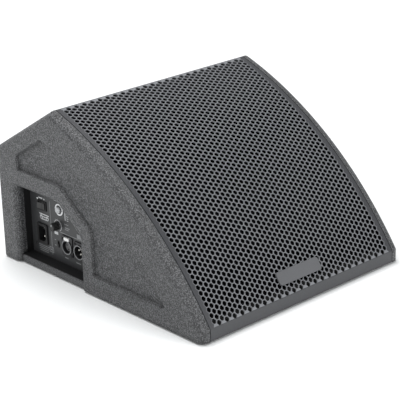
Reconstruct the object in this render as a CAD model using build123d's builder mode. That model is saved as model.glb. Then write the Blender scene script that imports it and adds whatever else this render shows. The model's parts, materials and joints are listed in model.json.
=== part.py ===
"""Stage monitor wedge: an active coaxial floor loudspeaker with a curved grille.

Millimetres. +Z is up, the grille faces -Y and up, the connector recess opens
towards -X, and the four feet stand on Z = 0 under the middle of the cabinet.
"""
import os
from math import asin, atan2, cos, hypot, radians, sin, sqrt

from build123d import *

os.makedirs("parts", exist_ok=True)

# ---------------------------------------------------------------- cabinet
width = 410.0
depth = 460.0
rise = 264.5            # apex of the side boards above their lower edge
rear_rise = 180.5       # top of the upright rear wall
kick_rise = 18.5        # upright strip at the nose, below the curved front
apex_setback = 321.0    # nose to apex
front_radius = 633.5
foot_drop = 3.0
side_board = 15.0
rear_board = 12.0
floor_board = 11.0
baffle_board = 15.0
edge_round = 11.0       # broad rounding of the side boards' outer edges
rear_round = 7.0
relief_depth = 4.0      # shallow sunk field on each side board
relief_slope = 36       # degrees
relief_land = 28.3      # land between the sunk field and what it follows
relief_rear = 50.0
relief_low = 29.0
relief_band = 53.0
relief_corner = 4.0

# ---------------------------------------------------------------- connector recess
pocket_rear_gap = 43.5  # rear face of the cabinet to the recess
pocket_length = 151.5
pocket_top = 124.0
pocket_shoulder = 99.3  # length of the recess's level top
pocket_front_top = 84.2
pocket_corner = 6.0
pocket_round = 9.5
pocket_frame = 12.0     # wall thickness of the frame behind the side board
lip_inset = 5.0         # floor strip under the recess, back from the side face
plate_depth = 27.0      # connector plate below the side face
plate_sheet = 2.0
plate_overlap = 8.0
fit_gap = 0.3

# ---------------------------------------------------------------- grille
sheet = 1.5
grille_gap = 1.2
grille_fold = 20.0      # flange that turns down over the rear slope
foam_sheet = 4.0
badge_size = (86.0, 20.5, 2.0)
badge_rise = 27.0       # badge centre above the bend at the nose, along the front

# ---------------------------------------------------------------- loudspeaker
baffle_inset = 8.0      # baffle front behind the chord of the curved front
driver_shift = 24.0     # driver centre above the middle of the baffle
flange_radius = 130.0
cutout_radius = 117.0
flange_sheet = 4.0
basket_depth = 62.0
magnet_radius = 72.0
magnet_height = 20.0
pole_radius = 24.0
magnet_gap = 10.0       # pole to the inside of the magnet ring
coil_radius = 25.0
coil_wall = 0.9
gap_radius = 26.9
surround_width = 21.0   # cone edge to the baffle's cutout, all round
cone_lip = 5.0          # flat rim of the cone under the surround
port_radius = 29.0
port_length = 60.0
port_wall = 2.5
port_inset = 50.0       # port centre from the cabinet's inner side
port_height = 148.0     # port centre above the middle of the baffle

# ---------------------------------------------------------------- derived places
base = foot_drop
front_y = -depth / 2
rear_y = depth / 2
inner_x = width / 2 - side_board
floor_top = base + floor_board
nose = (front_y, base + kick_rise)
apex = (front_y + apex_setback, base + rise)
rear_top = (rear_y, base + rear_rise)
chord = hypot(apex[0] - nose[0], apex[1] - nose[1])
tilt = atan2(apex[1] - nose[1], apex[0] - nose[0])
half_sweep = asin(chord / 2 / front_radius)
nose_slope = tilt + half_sweep
apex_slope = tilt - half_sweep
centre = (nose[0] + front_radius * sin(nose_slope), nose[1] - front_radius * cos(nose_slope))
slope_length = hypot(rear_top[0] - apex[0], rear_top[1] - apex[1])
slope_dir = ((rear_top[0] - apex[0]) / slope_length, (rear_top[1] - apex[1]) / slope_length)
slope_out = (-slope_dir[1], slope_dir[0])
pocket_rear = rear_y - pocket_rear_gap
pocket_front = pocket_rear - pocket_length
plate_x = -width / 2 + plate_depth


def on_front(slope, inset=0.0):
    """Point of the curved front where the surface slopes by this angle."""
    reach = front_radius - inset
    return (centre[0] - reach * sin(slope), centre[1] + reach * cos(slope))


def front_arc(inset, low, high):
    """Arc concentric with the curved front, from one slope angle to another."""
    ThreePointArc(on_front(low, inset), on_front((low + high) / 2, inset), on_front(high, inset))


def on_slope(along, inset=0.0):
    """Point of the rear slope, measured down from the apex."""
    return (
        apex[0] + slope_dir[0] * along - slope_out[0] * inset,
        apex[1] + slope_dir[1] * along - slope_out[1] * inset,
    )


def on_baffle(along, below):
    """Point in the side view: along the chord from its middle, and below it."""
    return (
        (nose[0] + apex[0]) / 2 + along * cos(tilt) + below * sin(tilt),
        (nose[1] + apex[1]) / 2 + along * sin(tilt) - below * cos(tilt),
    )


def angle_on_front(point):
    """Slope angle of the concentric arc that passes through this point."""
    return atan2(centre[0] - point[0], point[1] - centre[1])


def slope_meets_front(slope_inset, front_inset):
    """Where a line inside the rear slope meets an arc inside the curved front."""
    start = on_slope(0.0, slope_inset)
    reach = (start[0] - centre[0], start[1] - centre[1])
    toward = reach[0] * slope_dir[0] + reach[1] * slope_dir[1]
    outside = reach[0] ** 2 + reach[1] ** 2 - (front_radius - front_inset) ** 2
    return on_slope(-toward - sqrt(toward**2 - outside), slope_inset)


def front_at_height(front_inset, height):
    """Where an arc inside the curved front passes a height."""
    radius = front_radius - front_inset
    return (centre[0] - sqrt(radius**2 - (height - centre[1]) ** 2), height)


def front_at_y(front_inset, y):
    """Where an arc inside the curved front passes this Y."""
    radius = front_radius - front_inset
    return (y, centre[1] + sqrt(radius**2 - (y - centre[0]) ** 2))


def slope_at(y, inset):
    """Point at this Y on a line inside the rear slope."""
    start = on_slope(0.0, inset)
    return (y, start[1] + (y - start[0]) * slope_dir[1] / slope_dir[0])


def baffle_at_height(below, height):
    """Where a line parallel to the baffle passes a height."""
    start = on_baffle(0.0, below)
    return (start[0] + (height - start[1]) / sin(tilt) * cos(tilt), height)


def baffle_meets_slope(below, inset):
    """Where a line parallel to the baffle meets a line inside the rear slope."""
    start = on_baffle(0.0, below)
    corner = on_slope(0.0, inset)
    cross = cos(tilt) * slope_dir[1] - sin(tilt) * slope_dir[0]
    along = ((corner[0] - start[0]) * slope_dir[1] - (corner[1] - start[1]) * slope_dir[0]) / cross
    return (start[0] + along * cos(tilt), start[1] + along * sin(tilt))


# ---------------------------------------------------------------- outlines seen along X
with BuildSketch() as side_outline:
    with BuildLine():
        Polyline(nose, (front_y, base), (rear_y, base), rear_top, apex)
        front_arc(0.0, apex_slope, nose_slope)
    make_face()

with BuildSketch() as pocket_outline:
    with BuildLine():
        Polyline(
            (pocket_rear, 0.0),
            (pocket_rear, base + pocket_top),
            (pocket_rear - pocket_shoulder, base + pocket_top),
            (pocket_front, base + pocket_front_top),
            (pocket_front, 0.0),
            close=True,
        )
    make_face()

relief_tip = front_at_height(relief_band, base + relief_low)
relief_apex = slope_meets_front(relief_land, relief_band)
relief_heel = slope_at(rear_y - relief_rear, relief_land)
with BuildSketch() as relief_outline:
    with BuildLine():
        Polyline(relief_tip, (relief_heel[0], relief_tip[1]), relief_heel, relief_apex)
        front_arc(relief_band, angle_on_front(relief_apex), angle_on_front(relief_tip))
    make_face()
    with BuildSketch(mode=Mode.PRIVATE) as land_outline:
        add(pocket_outline.sketch)
        offset(amount=relief_land, kind=Kind.INTERSECTION)
    add(land_outline.sketch, mode=Mode.SUBTRACT)
    fillet(relief_outline.vertices(), radius=relief_corner)


# ---------------------------------------------------------------- side boards
def side_board_blank(sign):
    """Side board with its rounded outer edges and its sunk field."""
    face_x = sign * width / 2
    with BuildPart() as board:
        with BuildSketch(Plane.YZ.offset(face_x)):
            add(side_outline.sketch)
        extrude(amount=-sign * side_board)
        rim = board.faces().filter_by(Axis.X).sort_by(Axis.X)[-1 if sign > 0 else 0].edges()
        front = [e for e in rim if e.center().Z > base + 1 and e.center().Y < rear_y - 1]
        fillet(front, radius=edge_round)
        rear = [e for e in board.edges().filter_by(Axis.Z) if e.center().Y > rear_y - 1]
        fillet(sorted(rear, key=lambda e: -sign * e.center().X)[0], radius=rear_round)
        with BuildSketch(Plane.YZ.offset(face_x)):
            add(relief_outline.sketch)
        extrude(amount=-sign * relief_depth, taper=relief_slope, mode=Mode.SUBTRACT)
    return board


def parallel_to(plane_axis, solid, test):
    """Edges of a solid that run along an axis and pass a test on their middle."""
    return [e for e in solid.edges().filter_by(plane_axis) if test(e.center())]


with BuildPart() as left_side_panel:
    add(side_board_blank(-1).part)
    with BuildSketch(Plane.YZ.offset(-width / 2)):
        add(pocket_outline.sketch)
    extrude(amount=side_board, mode=Mode.SUBTRACT)
    inner_corners = parallel_to(
        Axis.X,
        left_side_panel,
        lambda c: pocket_front - 1 < c.Y < pocket_rear + 1 and base + 1 < c.Z < base + pocket_top + 1,
    )
    fillet(inner_corners, radius=pocket_corner)
    mouth = [
        e
        for e in left_side_panel.edges()
        if abs(e.center().X + width / 2) < 0.01
        and pocket_front - 1 < e.center().Y < pocket_rear + 1
        and e.center().Z < base + pocket_top + 1
    ]
    fillet(mouth, radius=pocket_round)

# carrying handle and pole cup on the right side board
handle_y = rear_y - 120.0
handle_z = base + 66.0
handle_mouth = (118.0, 66.0)
handle_rim = (142.0, 90.0)
handle_corner = 16.0
handle_depth = 52.0
handle_wall = 2.5
cup_y = front_y + 172.0
cup_z = base + 78.0
cup_bore = 18.2
cup_depth = 80.0
cup_wall = 3.0
cup_flange = 30.0
rim_sheet = 3.0
rim_recess = 5.0                # both rims and their screw heads lie below the side face
rim_screw = (2.0, 12.0)         # shank radius and length of the rim screws
handle_screws_at = (61.5, 35.5)
cup_screw_circle = 25.0
rim_screw_head = (3.6, 2.0)

right_face = Plane(origin=(width / 2, 0, 0), x_dir=(0, 1, 0), z_dir=(1, 0, 0))
rim_seat = right_face.offset(-rim_recess)
with BuildPart() as right_side_panel:
    add(side_board_blank(1).part)
    with BuildSketch(right_face):
        with Locations((handle_y, handle_z)):
            RectangleRounded(
                handle_mouth[0] + 2 * (handle_wall + fit_gap),
                handle_mouth[1] + 2 * (handle_wall + fit_gap),
                handle_corner + handle_wall + fit_gap,
            )
    extrude(amount=-side_board, mode=Mode.SUBTRACT)
    with BuildSketch(right_face):
        with Locations((cup_y, cup_z)):
            Circle(cup_bore + cup_wall + fit_gap)
    extrude(amount=-side_board, mode=Mode.SUBTRACT)
    with BuildSketch(right_face):
        with Locations((handle_y, handle_z)):
            RectangleRounded(
                handle_rim[0] + 2 * fit_gap, handle_rim[1] + 2 * fit_gap, handle_corner + handle_wall
            )
        with Locations((cup_y, cup_z)):
            Circle(cup_flange + fit_gap)
    extrude(amount=-rim_recess, mode=Mode.SUBTRACT)
    with BuildSketch(rim_seat):
        with Locations((handle_y, handle_z)):
            with GridLocations(2 * handle_screws_at[0], 2 * handle_screws_at[1], 2, 2):
                Circle(rim_screw[0])
        with Locations((cup_y, cup_z)):
            with PolarLocations(cup_screw_circle, 4, start_angle=45):
                Circle(rim_screw[0])
    extrude(amount=rim_sheet - rim_screw[1], mode=Mode.SUBTRACT)

with BuildPart() as handle_cup:
    with BuildSketch(rim_seat):
        with Locations((handle_y, handle_z)):
            RectangleRounded(*handle_rim, handle_corner + handle_wall)
    extrude(amount=rim_sheet)
    fillet(handle_cup.faces().sort_by(Axis.X)[-1].edges(), radius=rim_sheet * 0.6)
    with BuildSketch(rim_seat):
        with Locations((handle_y, handle_z)):
            RectangleRounded(
                handle_mouth[0] + 2 * handle_wall,
                handle_mouth[1] + 2 * handle_wall,
                handle_corner + handle_wall,
            )
    extrude(amount=-handle_depth)
    with BuildSketch(rim_seat.offset(rim_sheet)):
        with Locations((handle_y, handle_z)):
            RectangleRounded(*handle_mouth, handle_corner)
    extrude(amount=-handle_depth - rim_sheet + handle_wall, mode=Mode.SUBTRACT)
    with BuildSketch(rim_seat):
        with Locations((handle_y, handle_z)):
            with GridLocations(2 * handle_screws_at[0], 2 * handle_screws_at[1], 2, 2):
                Circle(rim_screw[0])
    extrude(amount=rim_sheet, mode=Mode.SUBTRACT)

grip_bar = 12.0
grip_rise = 11.0                # bar above the middle of the mouth, inside the straight walls
with BuildPart() as handle_grip:
    with BuildSketch(Plane.XZ.offset(-handle_y)):
        with Locations((width / 2 - rim_recess - grip_bar / 2, handle_z + grip_rise)):
            Circle(grip_bar / 2)
    extrude(amount=handle_mouth[0] / 2, both=True)

with BuildPart() as pole_cup:
    with BuildSketch(rim_seat):
        with Locations((cup_y, cup_z)):
            Circle(cup_flange)
    extrude(amount=rim_sheet)
    with BuildSketch(rim_seat):
        with Locations((cup_y, cup_z)):
            Circle(cup_bore + cup_wall)
    extrude(amount=-cup_depth)
    with BuildSketch(rim_seat.offset(rim_sheet)):
        with Locations((cup_y, cup_z)):
            Circle(cup_bore)
    extrude(amount=-cup_depth - rim_sheet + cup_wall, mode=Mode.SUBTRACT)
    with BuildSketch(rim_seat):
        with Locations((cup_y, cup_z)):
            with PolarLocations(cup_screw_circle, 4, start_angle=45):
                Circle(rim_screw[0])
    extrude(amount=rim_sheet, mode=Mode.SUBTRACT)


# ---------------------------------------------------------------- screws
def screw(plane, shank, length, head, head_height):
    """One pan-head screw: its head stands on the plane and its shank goes below."""
    with Locations(plane):
        Cylinder(head, head_height, align=(Align.CENTER, Align.CENTER, Align.MIN))
        Cylinder(shank, length, align=(Align.CENTER, Align.CENTER, Align.MAX))


with BuildPart() as handle_screws:
    for step_y in (-1, 1):
        for step_z in (-1, 1):
            at = (handle_y + step_y * handle_screws_at[0], handle_z + step_z * handle_screws_at[1])
            seat = rim_seat.offset(rim_sheet)
            seat.origin = (seat.origin.X, at[0], at[1])
            screw(seat, *rim_screw, *rim_screw_head)

with BuildPart() as pole_cup_screws:
    for quarter in range(4):
        turn = radians(45 + 90 * quarter)
        seat = rim_seat.offset(rim_sheet)
        seat.origin = (
            seat.origin.X,
            cup_y + cup_screw_circle * cos(turn),
            cup_z + cup_screw_circle * sin(turn),
        )
        screw(seat, *rim_screw, *rim_screw_head)

# ---------------------------------------------------------------- cabinet boards
foot_radius = 12.5
foot_inset = (32.0, 34.0)       # foot centre from the inner side and from front or rear
foot_screw = (1.8, 9.0)
foot_screw_head = (3.4, 1.4)    # radius and height, here and below
foot_hollow = (4.0, 2.0)        # radius and depth of the hollow round the foot's screw
feet_at = [
    (side * (inner_x - foot_inset[0]), end)
    for side in (-1, 1)
    for end in (front_y + foot_inset[1], rear_y - foot_inset[1])
]

with BuildPart() as bottom_panel:
    with BuildSketch(Plane.XY.offset(base)):
        with Locations((0, (front_y + sheet + fit_gap + rear_y - rear_board) / 2)):
            Rectangle(2 * inner_x, depth - sheet - fit_gap - rear_board)
        with Locations((-(inner_x + width / 2 - lip_inset) / 2, (pocket_front + pocket_rear) / 2)):
            Rectangle(side_board - lip_inset, pocket_length)
    extrude(amount=floor_board)
    lip_edges = [
        e
        for e in bottom_panel.edges().filter_by(Axis.Y)
        if e.center().X < -inner_x - 1 and e.center().Z > base + 1
    ]
    fillet(lip_edges, radius=2.0)
    with BuildSketch(Plane.XY.offset(base)):
        with Locations(*feet_at):
            Circle(foot_screw[0])
    extrude(amount=foot_screw[1], mode=Mode.SUBTRACT)

with BuildPart() as rear_panel:
    with BuildSketch(Plane.YZ):
        with BuildLine():
            Polyline(
                (rear_y, base),
                (rear_y, slope_at(rear_y, sheet)[1]),
                slope_at(rear_y - rear_board, sheet + rear_board),
                (rear_y - rear_board, base),
                close=True,
            )
        make_face()
    extrude(amount=inner_x, both=True)

slope_screw = (2.0, 10.0)
slope_screws_at = [(-1.5 + step) * inner_x / 2 for step in range(4)]
slope_screw_head = (3.8, 1.6)
fold_line = 13.0                # screws in the grille's flange, down from the apex
with BuildPart() as rear_slope_panel:
    with BuildSketch(Plane.YZ):
        with BuildLine():
            Polyline(
                baffle_meets_slope(baffle_inset, sheet),
                (rear_y, slope_at(rear_y, sheet)[1]),
                slope_at(rear_y - rear_board, sheet + rear_board),
                baffle_meets_slope(baffle_inset, sheet + rear_board),
                close=True,
            )
        make_face()
    extrude(amount=inner_x, both=True)
    for screw_x in slope_screws_at:
        spot = on_slope(fold_line, sheet)
        hole = Plane(origin=(screw_x, *spot), x_dir=(1, 0, 0), z_dir=(0, *slope_out))
        with BuildSketch(hole):
            Circle(slope_screw[0])
        extrude(amount=-slope_screw[1], mode=Mode.SUBTRACT)

driver_plane = Plane(
    origin=(0, *on_baffle(driver_shift, baffle_inset)),
    x_dir=(1, 0, 0),
    z_dir=(0, -sin(tilt), cos(tilt)),
)
section_plane = Plane(origin=driver_plane.origin, x_dir=(1, 0, 0), z_dir=(0, -cos(tilt), -sin(tilt)))
driver_axis = Axis(driver_plane.origin, driver_plane.z_dir)
port_at = [(side * (inner_x - port_inset), port_height - driver_shift) for side in (-1, 1)]
driver_bolts = 8
bolt_circle = 123.5
bolt_screw = (2.5, 18.0)
bolt_head = (4.2, 2.8)
first_bolt = 22.5               # degrees from +X

with BuildPart() as front_baffle:
    with BuildSketch(Plane.YZ):
        with BuildLine():
            Polyline(
                baffle_at_height(baffle_inset, floor_top),
                baffle_meets_slope(baffle_inset, sheet + rear_board),
                baffle_meets_slope(baffle_inset + baffle_board, sheet + rear_board),
                baffle_at_height(baffle_inset + baffle_board, floor_top),
                close=True,
            )
        make_face()
    extrude(amount=inner_x, both=True)
    with BuildSketch(driver_plane):
        Circle(cutout_radius)
        with Locations(*port_at):
            Circle(port_radius)
    extrude(amount=-baffle_board, mode=Mode.SUBTRACT)
    with BuildSketch(driver_plane):
        with PolarLocations(bolt_circle, driver_bolts, start_angle=first_bolt):
            Circle(bolt_screw[0])
    extrude(amount=-bolt_screw[1] + flange_sheet, mode=Mode.SUBTRACT)

with BuildPart() as port_tubes:
    with BuildSketch(driver_plane):
        with Locations(*port_at):
            Circle(port_radius)
            Circle(port_radius - port_wall, mode=Mode.SUBTRACT)
    extrude(amount=-port_length)

# a stiffening bar between the side boards, behind the loudspeaker
brace_size = (24.0, 24.0)
brace_height = 96.0
brace_end_gap = 30.0
with BuildPart() as rear_brace:
    with BuildSketch(Plane.YZ):
        with Locations((rear_y - rear_board - brace_size[0] / 2, base + brace_height)):
            Rectangle(*brace_size)
    extrude(amount=inner_x - brace_end_gap, both=True)

wadding_sheet = 18.0
wadding_length = 220.0
wadding_x = 40.0                # clear of the amplifier housing on the left
with BuildPart() as damping_wadding:
    with BuildSketch(Plane.XY.offset(floor_top)):
        with Locations((wadding_x, rear_y - rear_board - wadding_sheet / 2)):
            Rectangle(wadding_length, wadding_sheet)
    extrude(amount=base + brace_height - brace_size[1] / 2 - floor_top - 1)
    fillet(damping_wadding.edges().filter_by(Axis.Z), radius=3.0)

# ---------------------------------------------------------------- feet
with BuildPart() as rubber_feet:
    with BuildSketch(Plane.XY):
        with Locations(*feet_at):
            Circle(foot_radius)
    extrude(amount=foot_drop)
    with BuildSketch(Plane.XY):
        with Locations(*feet_at):
            Circle(foot_hollow[0])
    extrude(amount=foot_hollow[1], mode=Mode.SUBTRACT)
    with BuildSketch(Plane.XY):
        with Locations(*feet_at):
            Circle(foot_screw[0])
    extrude(amount=foot_drop, mode=Mode.SUBTRACT)

with BuildPart() as foot_screws:
    for foot in feet_at:
        seat = Plane(origin=(*foot, foot_hollow[1]), x_dir=(1, 0, 0), z_dir=(0, 0, -1))
        screw(seat, foot_screw[0], foot_screw[1] - 1.0, *foot_screw_head)

# ---------------------------------------------------------------- grille
grille_half = inner_x - grille_gap
inner_nose = front_at_y(sheet, front_y + sheet)
inner_apex = slope_meets_front(sheet, sheet)
with BuildPart() as grille:
    with BuildSketch(Plane.YZ):
        with BuildLine():
            Polyline(nose, (front_y, base + fit_gap), (front_y + sheet, base + fit_gap), inner_nose)
            front_arc(sheet, angle_on_front(inner_nose), angle_on_front(inner_apex))
            Polyline(inner_apex, on_slope(grille_fold, sheet), on_slope(grille_fold), apex)
            front_arc(0.0, apex_slope, nose_slope)
        make_face()
    extrude(amount=grille_half, both=True)
    for screw_x in slope_screws_at:
        hole = Plane(origin=(screw_x, *on_slope(fold_line)), x_dir=(1, 0, 0), z_dir=(0, *slope_out))
        with BuildSketch(hole):
            Circle(slope_screw[0])
        extrude(amount=-sheet, mode=Mode.SUBTRACT)

foam_ends = radians(1.0)
foam_side_gap = 3.0
with BuildPart() as grille_foam:
    with BuildSketch(Plane.YZ):
        with BuildLine():
            low = apex_slope + foam_ends
            high = nose_slope - foam_ends
            front_arc(sheet, low, high)
            Line(on_front(high, sheet), on_front(high, sheet + foam_sheet))
            front_arc(sheet + foam_sheet, high, low)
            Line(on_front(low, sheet + foam_sheet), on_front(low, sheet))
        make_face()
    extrude(amount=grille_half - foam_side_gap, both=True)

with BuildPart() as grille_screws:
    for screw_x in slope_screws_at:
        seat = Plane(origin=(screw_x, *on_slope(fold_line)), x_dir=(1, 0, 0), z_dir=(0, *slope_out))
        screw(seat, *slope_screw, *slope_screw_head)

badge_cut = 3.0                 # cut corners of the badge
badge_slope = nose_slope - badge_rise / front_radius
badge_plane = Plane(
    origin=(0, *on_front(badge_slope)),
    x_dir=(1, 0, 0),
    z_dir=(0, -sin(badge_slope), cos(badge_slope)),
)
with BuildPart() as badge:
    with BuildSketch(badge_plane):
        Rectangle(badge_size[0], badge_size[1])
    extrude(amount=badge_size[2])
    short_edges = badge.edges().filter_by(Axis(badge_plane.origin, badge_plane.z_dir))
    chamfer(short_edges, length=badge_cut)


# ---------------------------------------------------------------- coaxial loudspeaker
def turned(*outline):
    """Ring turned about the loudspeaker's axis; points are radius and height."""
    with BuildPart() as piece:
        with BuildSketch(section_plane):
            with BuildLine():
                Polyline(*outline, close=True)
            make_face()
        revolve(axis=driver_axis)
    return piece


basket_wall = 3.0
top_plate_sheet = 7.0
back_plate_sheet = 7.0
plate_radius = 60.0
magnet_top = -basket_depth - top_plate_sheet
magnet_bottom = magnet_top - magnet_height
motor_bottom = magnet_bottom - back_plate_sheet
throat_radius = 11.0
shell_top = cutout_radius - 2.0
surround_outer = cutout_radius - 6.0
cone_edge = cutout_radius - surround_width
basket_shell = turned(
    (flange_radius, 0),
    (flange_radius, flange_sheet),
    (surround_outer, flange_sheet),
    (surround_outer, -basket_wall),
    (plate_radius, basket_wall - basket_depth),
    (gap_radius + 3, basket_wall - basket_depth),
    (gap_radius + 3, -basket_depth),
    (plate_radius + basket_wall, -basket_depth),
    (shell_top, -2 * basket_wall),
    (shell_top, 0),
)
with BuildPart() as basket:
    add(basket_shell.part)
    with BuildSketch(driver_plane.offset(-2.5 * basket_wall)):
        Circle(shell_top - 10.0)
        Circle(plate_radius + 8.0, mode=Mode.SUBTRACT)
        with PolarLocations(0, 3, start_angle=30):
            Rectangle(2 * shell_top, 16.0, mode=Mode.SUBTRACT)
    extrude(amount=-basket_depth + 4.5 * basket_wall, mode=Mode.SUBTRACT)
    with BuildSketch(driver_plane):
        with PolarLocations(bolt_circle, driver_bolts, start_angle=first_bolt):
            Circle(bolt_screw[0])
    extrude(amount=flange_sheet, mode=Mode.SUBTRACT)

top_plate = turned(
    (gap_radius, -basket_depth),
    (plate_radius, -basket_depth),
    (plate_radius, magnet_top),
    (gap_radius, magnet_top),
)
magnet_ring = turned(
    (pole_radius + magnet_gap, magnet_top),
    (magnet_radius, magnet_top),
    (magnet_radius, magnet_bottom),
    (pole_radius + magnet_gap, magnet_bottom),
)
back_plate = turned(
    (throat_radius, -basket_depth),
    (pole_radius, -basket_depth),
    (pole_radius, magnet_bottom),
    (plate_radius, magnet_bottom),
    (plate_radius, motor_bottom),
    (throat_radius, motor_bottom),
)
hf_radius = 42.0
hf_height = 26.0
compression_driver = turned(
    (0, motor_bottom),
    (hf_radius, motor_bottom),
    (hf_radius, motor_bottom - hf_height * 0.7),
    (hf_radius - 7, motor_bottom - hf_height),
    (0, motor_bottom - hf_height),
)
horn_mouth = 46.0
horn_top = -24.0
horn_wall = 2.0
with BuildPart() as horn:
    with BuildSketch(section_plane):
        with BuildLine():
            Line((throat_radius + horn_wall + 1, -basket_depth), (throat_radius, -basket_depth))
            Spline(
                (throat_radius, -basket_depth),
                (horn_mouth - horn_wall, horn_top),
                tangents=((0.05, 1), (1, 0.28)),
            )
            Line((horn_mouth - horn_wall, horn_top), (horn_mouth, horn_top - horn_wall))
            Spline(
                (horn_mouth, horn_top - horn_wall),
                (throat_radius + horn_wall + 1, -basket_depth),
                tangents=((-1, -0.28), (-0.05, -1)),
            )
        make_face()
    revolve(axis=driver_axis)

neck_height = -50.0
cone_wall = 1.2
former_top = neck_height + 2.0
coil_outer = coil_radius + coil_wall
voice_coil = turned(
    (coil_radius, former_top),
    (coil_outer, former_top),
    (coil_outer, magnet_top - 9.0),
    (coil_radius, magnet_top - 9.0),
)
cone = turned(
    (coil_outer, neck_height - 2.0),
    (coil_outer + 1.6, neck_height - 2.0),
    (cone_edge + 0.8, 0.3),
    (cone_edge + cone_lip, 0.3),
    (cone_edge + cone_lip, 0.3 + cone_wall),
    (cone_edge, 0.3 + cone_wall),
    (coil_outer, neck_height),
)
roll = (surround_outer + cone_edge + cone_lip) / 2
roll_radius = (surround_outer - cone_edge - cone_lip) / 2
lip_low = 0.3 + cone_wall + fit_gap
with BuildPart() as surround:
    with BuildSketch(section_plane):
        with Locations((roll, flange_sheet)):
            Circle(roll_radius + 1.0)
            Circle(roll_radius, mode=Mode.SUBTRACT)
        with Locations((roll, flange_sheet)):
            Rectangle(3 * roll_radius, 3 * roll_radius, align=(Align.CENTER, Align.MAX), mode=Mode.SUBTRACT)
        with Locations((surround_outer, flange_sheet)):
            Rectangle(5.5, 1.0, align=(Align.MIN, Align.MIN))
        with Locations((cone_edge + cone_lip, lip_low)):
            Rectangle(4.0, 1.0, align=(Align.MAX, Align.MIN))
            Rectangle(1.0, flange_sheet - lip_low + 0.2, align=(Align.MAX, Align.MIN))
    revolve(axis=driver_axis)

spider_low = basket_wall - basket_depth
spider = turned(
    (plate_radius - 3, spider_low),
    (plate_radius - 3, spider_low + 1),
    (plate_radius - 10, spider_low + 1),
    (46, spider_low + 4),
    (42, spider_low + 2.6),
    (38, spider_low + 4),
    (34, spider_low + 2.6),
    (coil_outer + fit_gap, spider_low + 3.2),
    (coil_outer + fit_gap, spider_low + 2.2),
    (34, spider_low + 1.6),
    (38, spider_low + 3),
    (42, spider_low + 1.6),
    (46, spider_low + 3),
    (plate_radius - 10, spider_low),
)
gasket = turned(
    (surround_outer + 2.0, flange_sheet + 1),
    (bolt_circle - 4.5, flange_sheet + 1),
    (bolt_circle - 4.5, flange_sheet + 3.5),
    (surround_outer + 2.0, flange_sheet + 3.5),
)
with BuildPart() as driver_screws:
    for step in range(driver_bolts):
        turn = radians(first_bolt + 360 / driver_bolts * step)
        seat = driver_plane.offset(flange_sheet)
        seat.origin = driver_plane.offset(flange_sheet).from_local_coords(
            Vector(bolt_circle * cos(turn), bolt_circle * sin(turn), 0)
        )
        screw(seat, *bolt_screw, *bolt_head)

# ---------------------------------------------------------------- connector recess
with BuildPart() as recess_frame:
    with BuildSketch(Plane.YZ.offset(-inner_x)) as frame_outline:
        add(pocket_outline.sketch)
        offset(amount=pocket_frame, kind=Kind.INTERSECTION)
        add(pocket_outline.sketch, mode=Mode.SUBTRACT)
        with Locations((0, floor_top)):
            Rectangle(2 * depth, depth, align=(Align.CENTER, Align.MAX), mode=Mode.SUBTRACT)
    extrude(amount=plate_x + inner_x)
    fillet(
        parallel_to(
            Axis.X,
            recess_frame,
            lambda c: pocket_front - 1 < c.Y < pocket_rear + 1
            and floor_top + 1 < c.Z < base + pocket_top + 1,
        ),
        radius=pocket_corner,
    )

plate_face = Plane(origin=(plate_x, pocket_rear, base), x_dir=(0, -1, 0), z_dir=(-1, 0, 0))
plate_back = plate_face.offset(-plate_sheet)
# centres on the plate: distance from the recess's rear wall, height above the side board's edge
switch_at = (29.7, 94.0)
inlet_at = (28.0, 47.4)
preset_at = (72.4, 98.4)
volume_at = (66.4, 70.9)
lift_at = (65.8, 40.3)
input_at = (88.8, 42.1)
link_at = (118.1, 42.1)
led_at = (18.5, 103.0)
plate_screws_at = [(10.0, 115.0), (10.0, 27.0), (86.0, 115.0), (143.0, 27.0), (143.0, 76.0)]
plate_screw = (1.5, 6.0)        # radius and length
plate_screw_head = (2.7, 1.6)   # radius and height
switch_body = (19.0, 13.0)
inlet_body = (21.5, 28.5)
bushing = 4.5
xlr_body = 11.8
xlr_screw = (1.3, 6.0)
xlr_screw_head = (2.1, 1.3)
xlr_screws_at = [(-9.6, 11.6), (9.6, -11.6)]
latch_size = (12.0, 5.4)
latch_rise = 13.0
latch_gap = 0.4
lift_body = (6.0, 12.0)
lift_depth = 5.0
lift_slot = (3.4, 8.6)
lift_tab = (2.6, 3.8)
lift_travel = 4.0
led_radius = 1.5


def at_plate(points, plane, amount, shape, mode=Mode.ADD):
    """Extrude one shape at each of these places on the connector plate."""
    with BuildSketch(plane, mode=Mode.PRIVATE) as spots:
        with Locations(*points):
            shape()
    extrude(spots.sketch, amount=amount, mode=mode)


with BuildPart() as connector_plate:
    with BuildSketch(Plane.YZ.offset(plate_x)) as plate_outline:
        add(pocket_outline.sketch)
        offset(amount=plate_overlap, kind=Kind.INTERSECTION)
        with Locations((0, floor_top + fit_gap)):
            Rectangle(2 * depth, depth, align=(Align.CENTER, Align.MAX), mode=Mode.SUBTRACT)
    extrude(amount=plate_sheet)
    with BuildSketch(plate_face):
        with Locations(switch_at):
            Rectangle(*switch_body)
        with Locations(inlet_at):
            Rectangle(*inlet_body)
        with Locations(preset_at, volume_at):
            Circle(bushing)
        with Locations(lift_at):
            Rectangle(*lift_body)
        with Locations(input_at, link_at):
            Circle(xlr_body)
        with Locations((input_at[0], input_at[1] + latch_rise)):
            Rectangle(latch_size[0] + 2 * latch_gap, latch_size[1] + 2 * latch_gap)
        with Locations(led_at):
            Circle(led_radius)
        with Locations(*plate_screws_at):
            Circle(plate_screw[0])
        for xlr in (input_at, link_at):
            with Locations(*[(xlr[0] + step[0], xlr[1] + step[1]) for step in xlr_screws_at]):
                Circle(xlr_screw[0])
    extrude(amount=-plate_sheet, mode=Mode.SUBTRACT)

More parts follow.
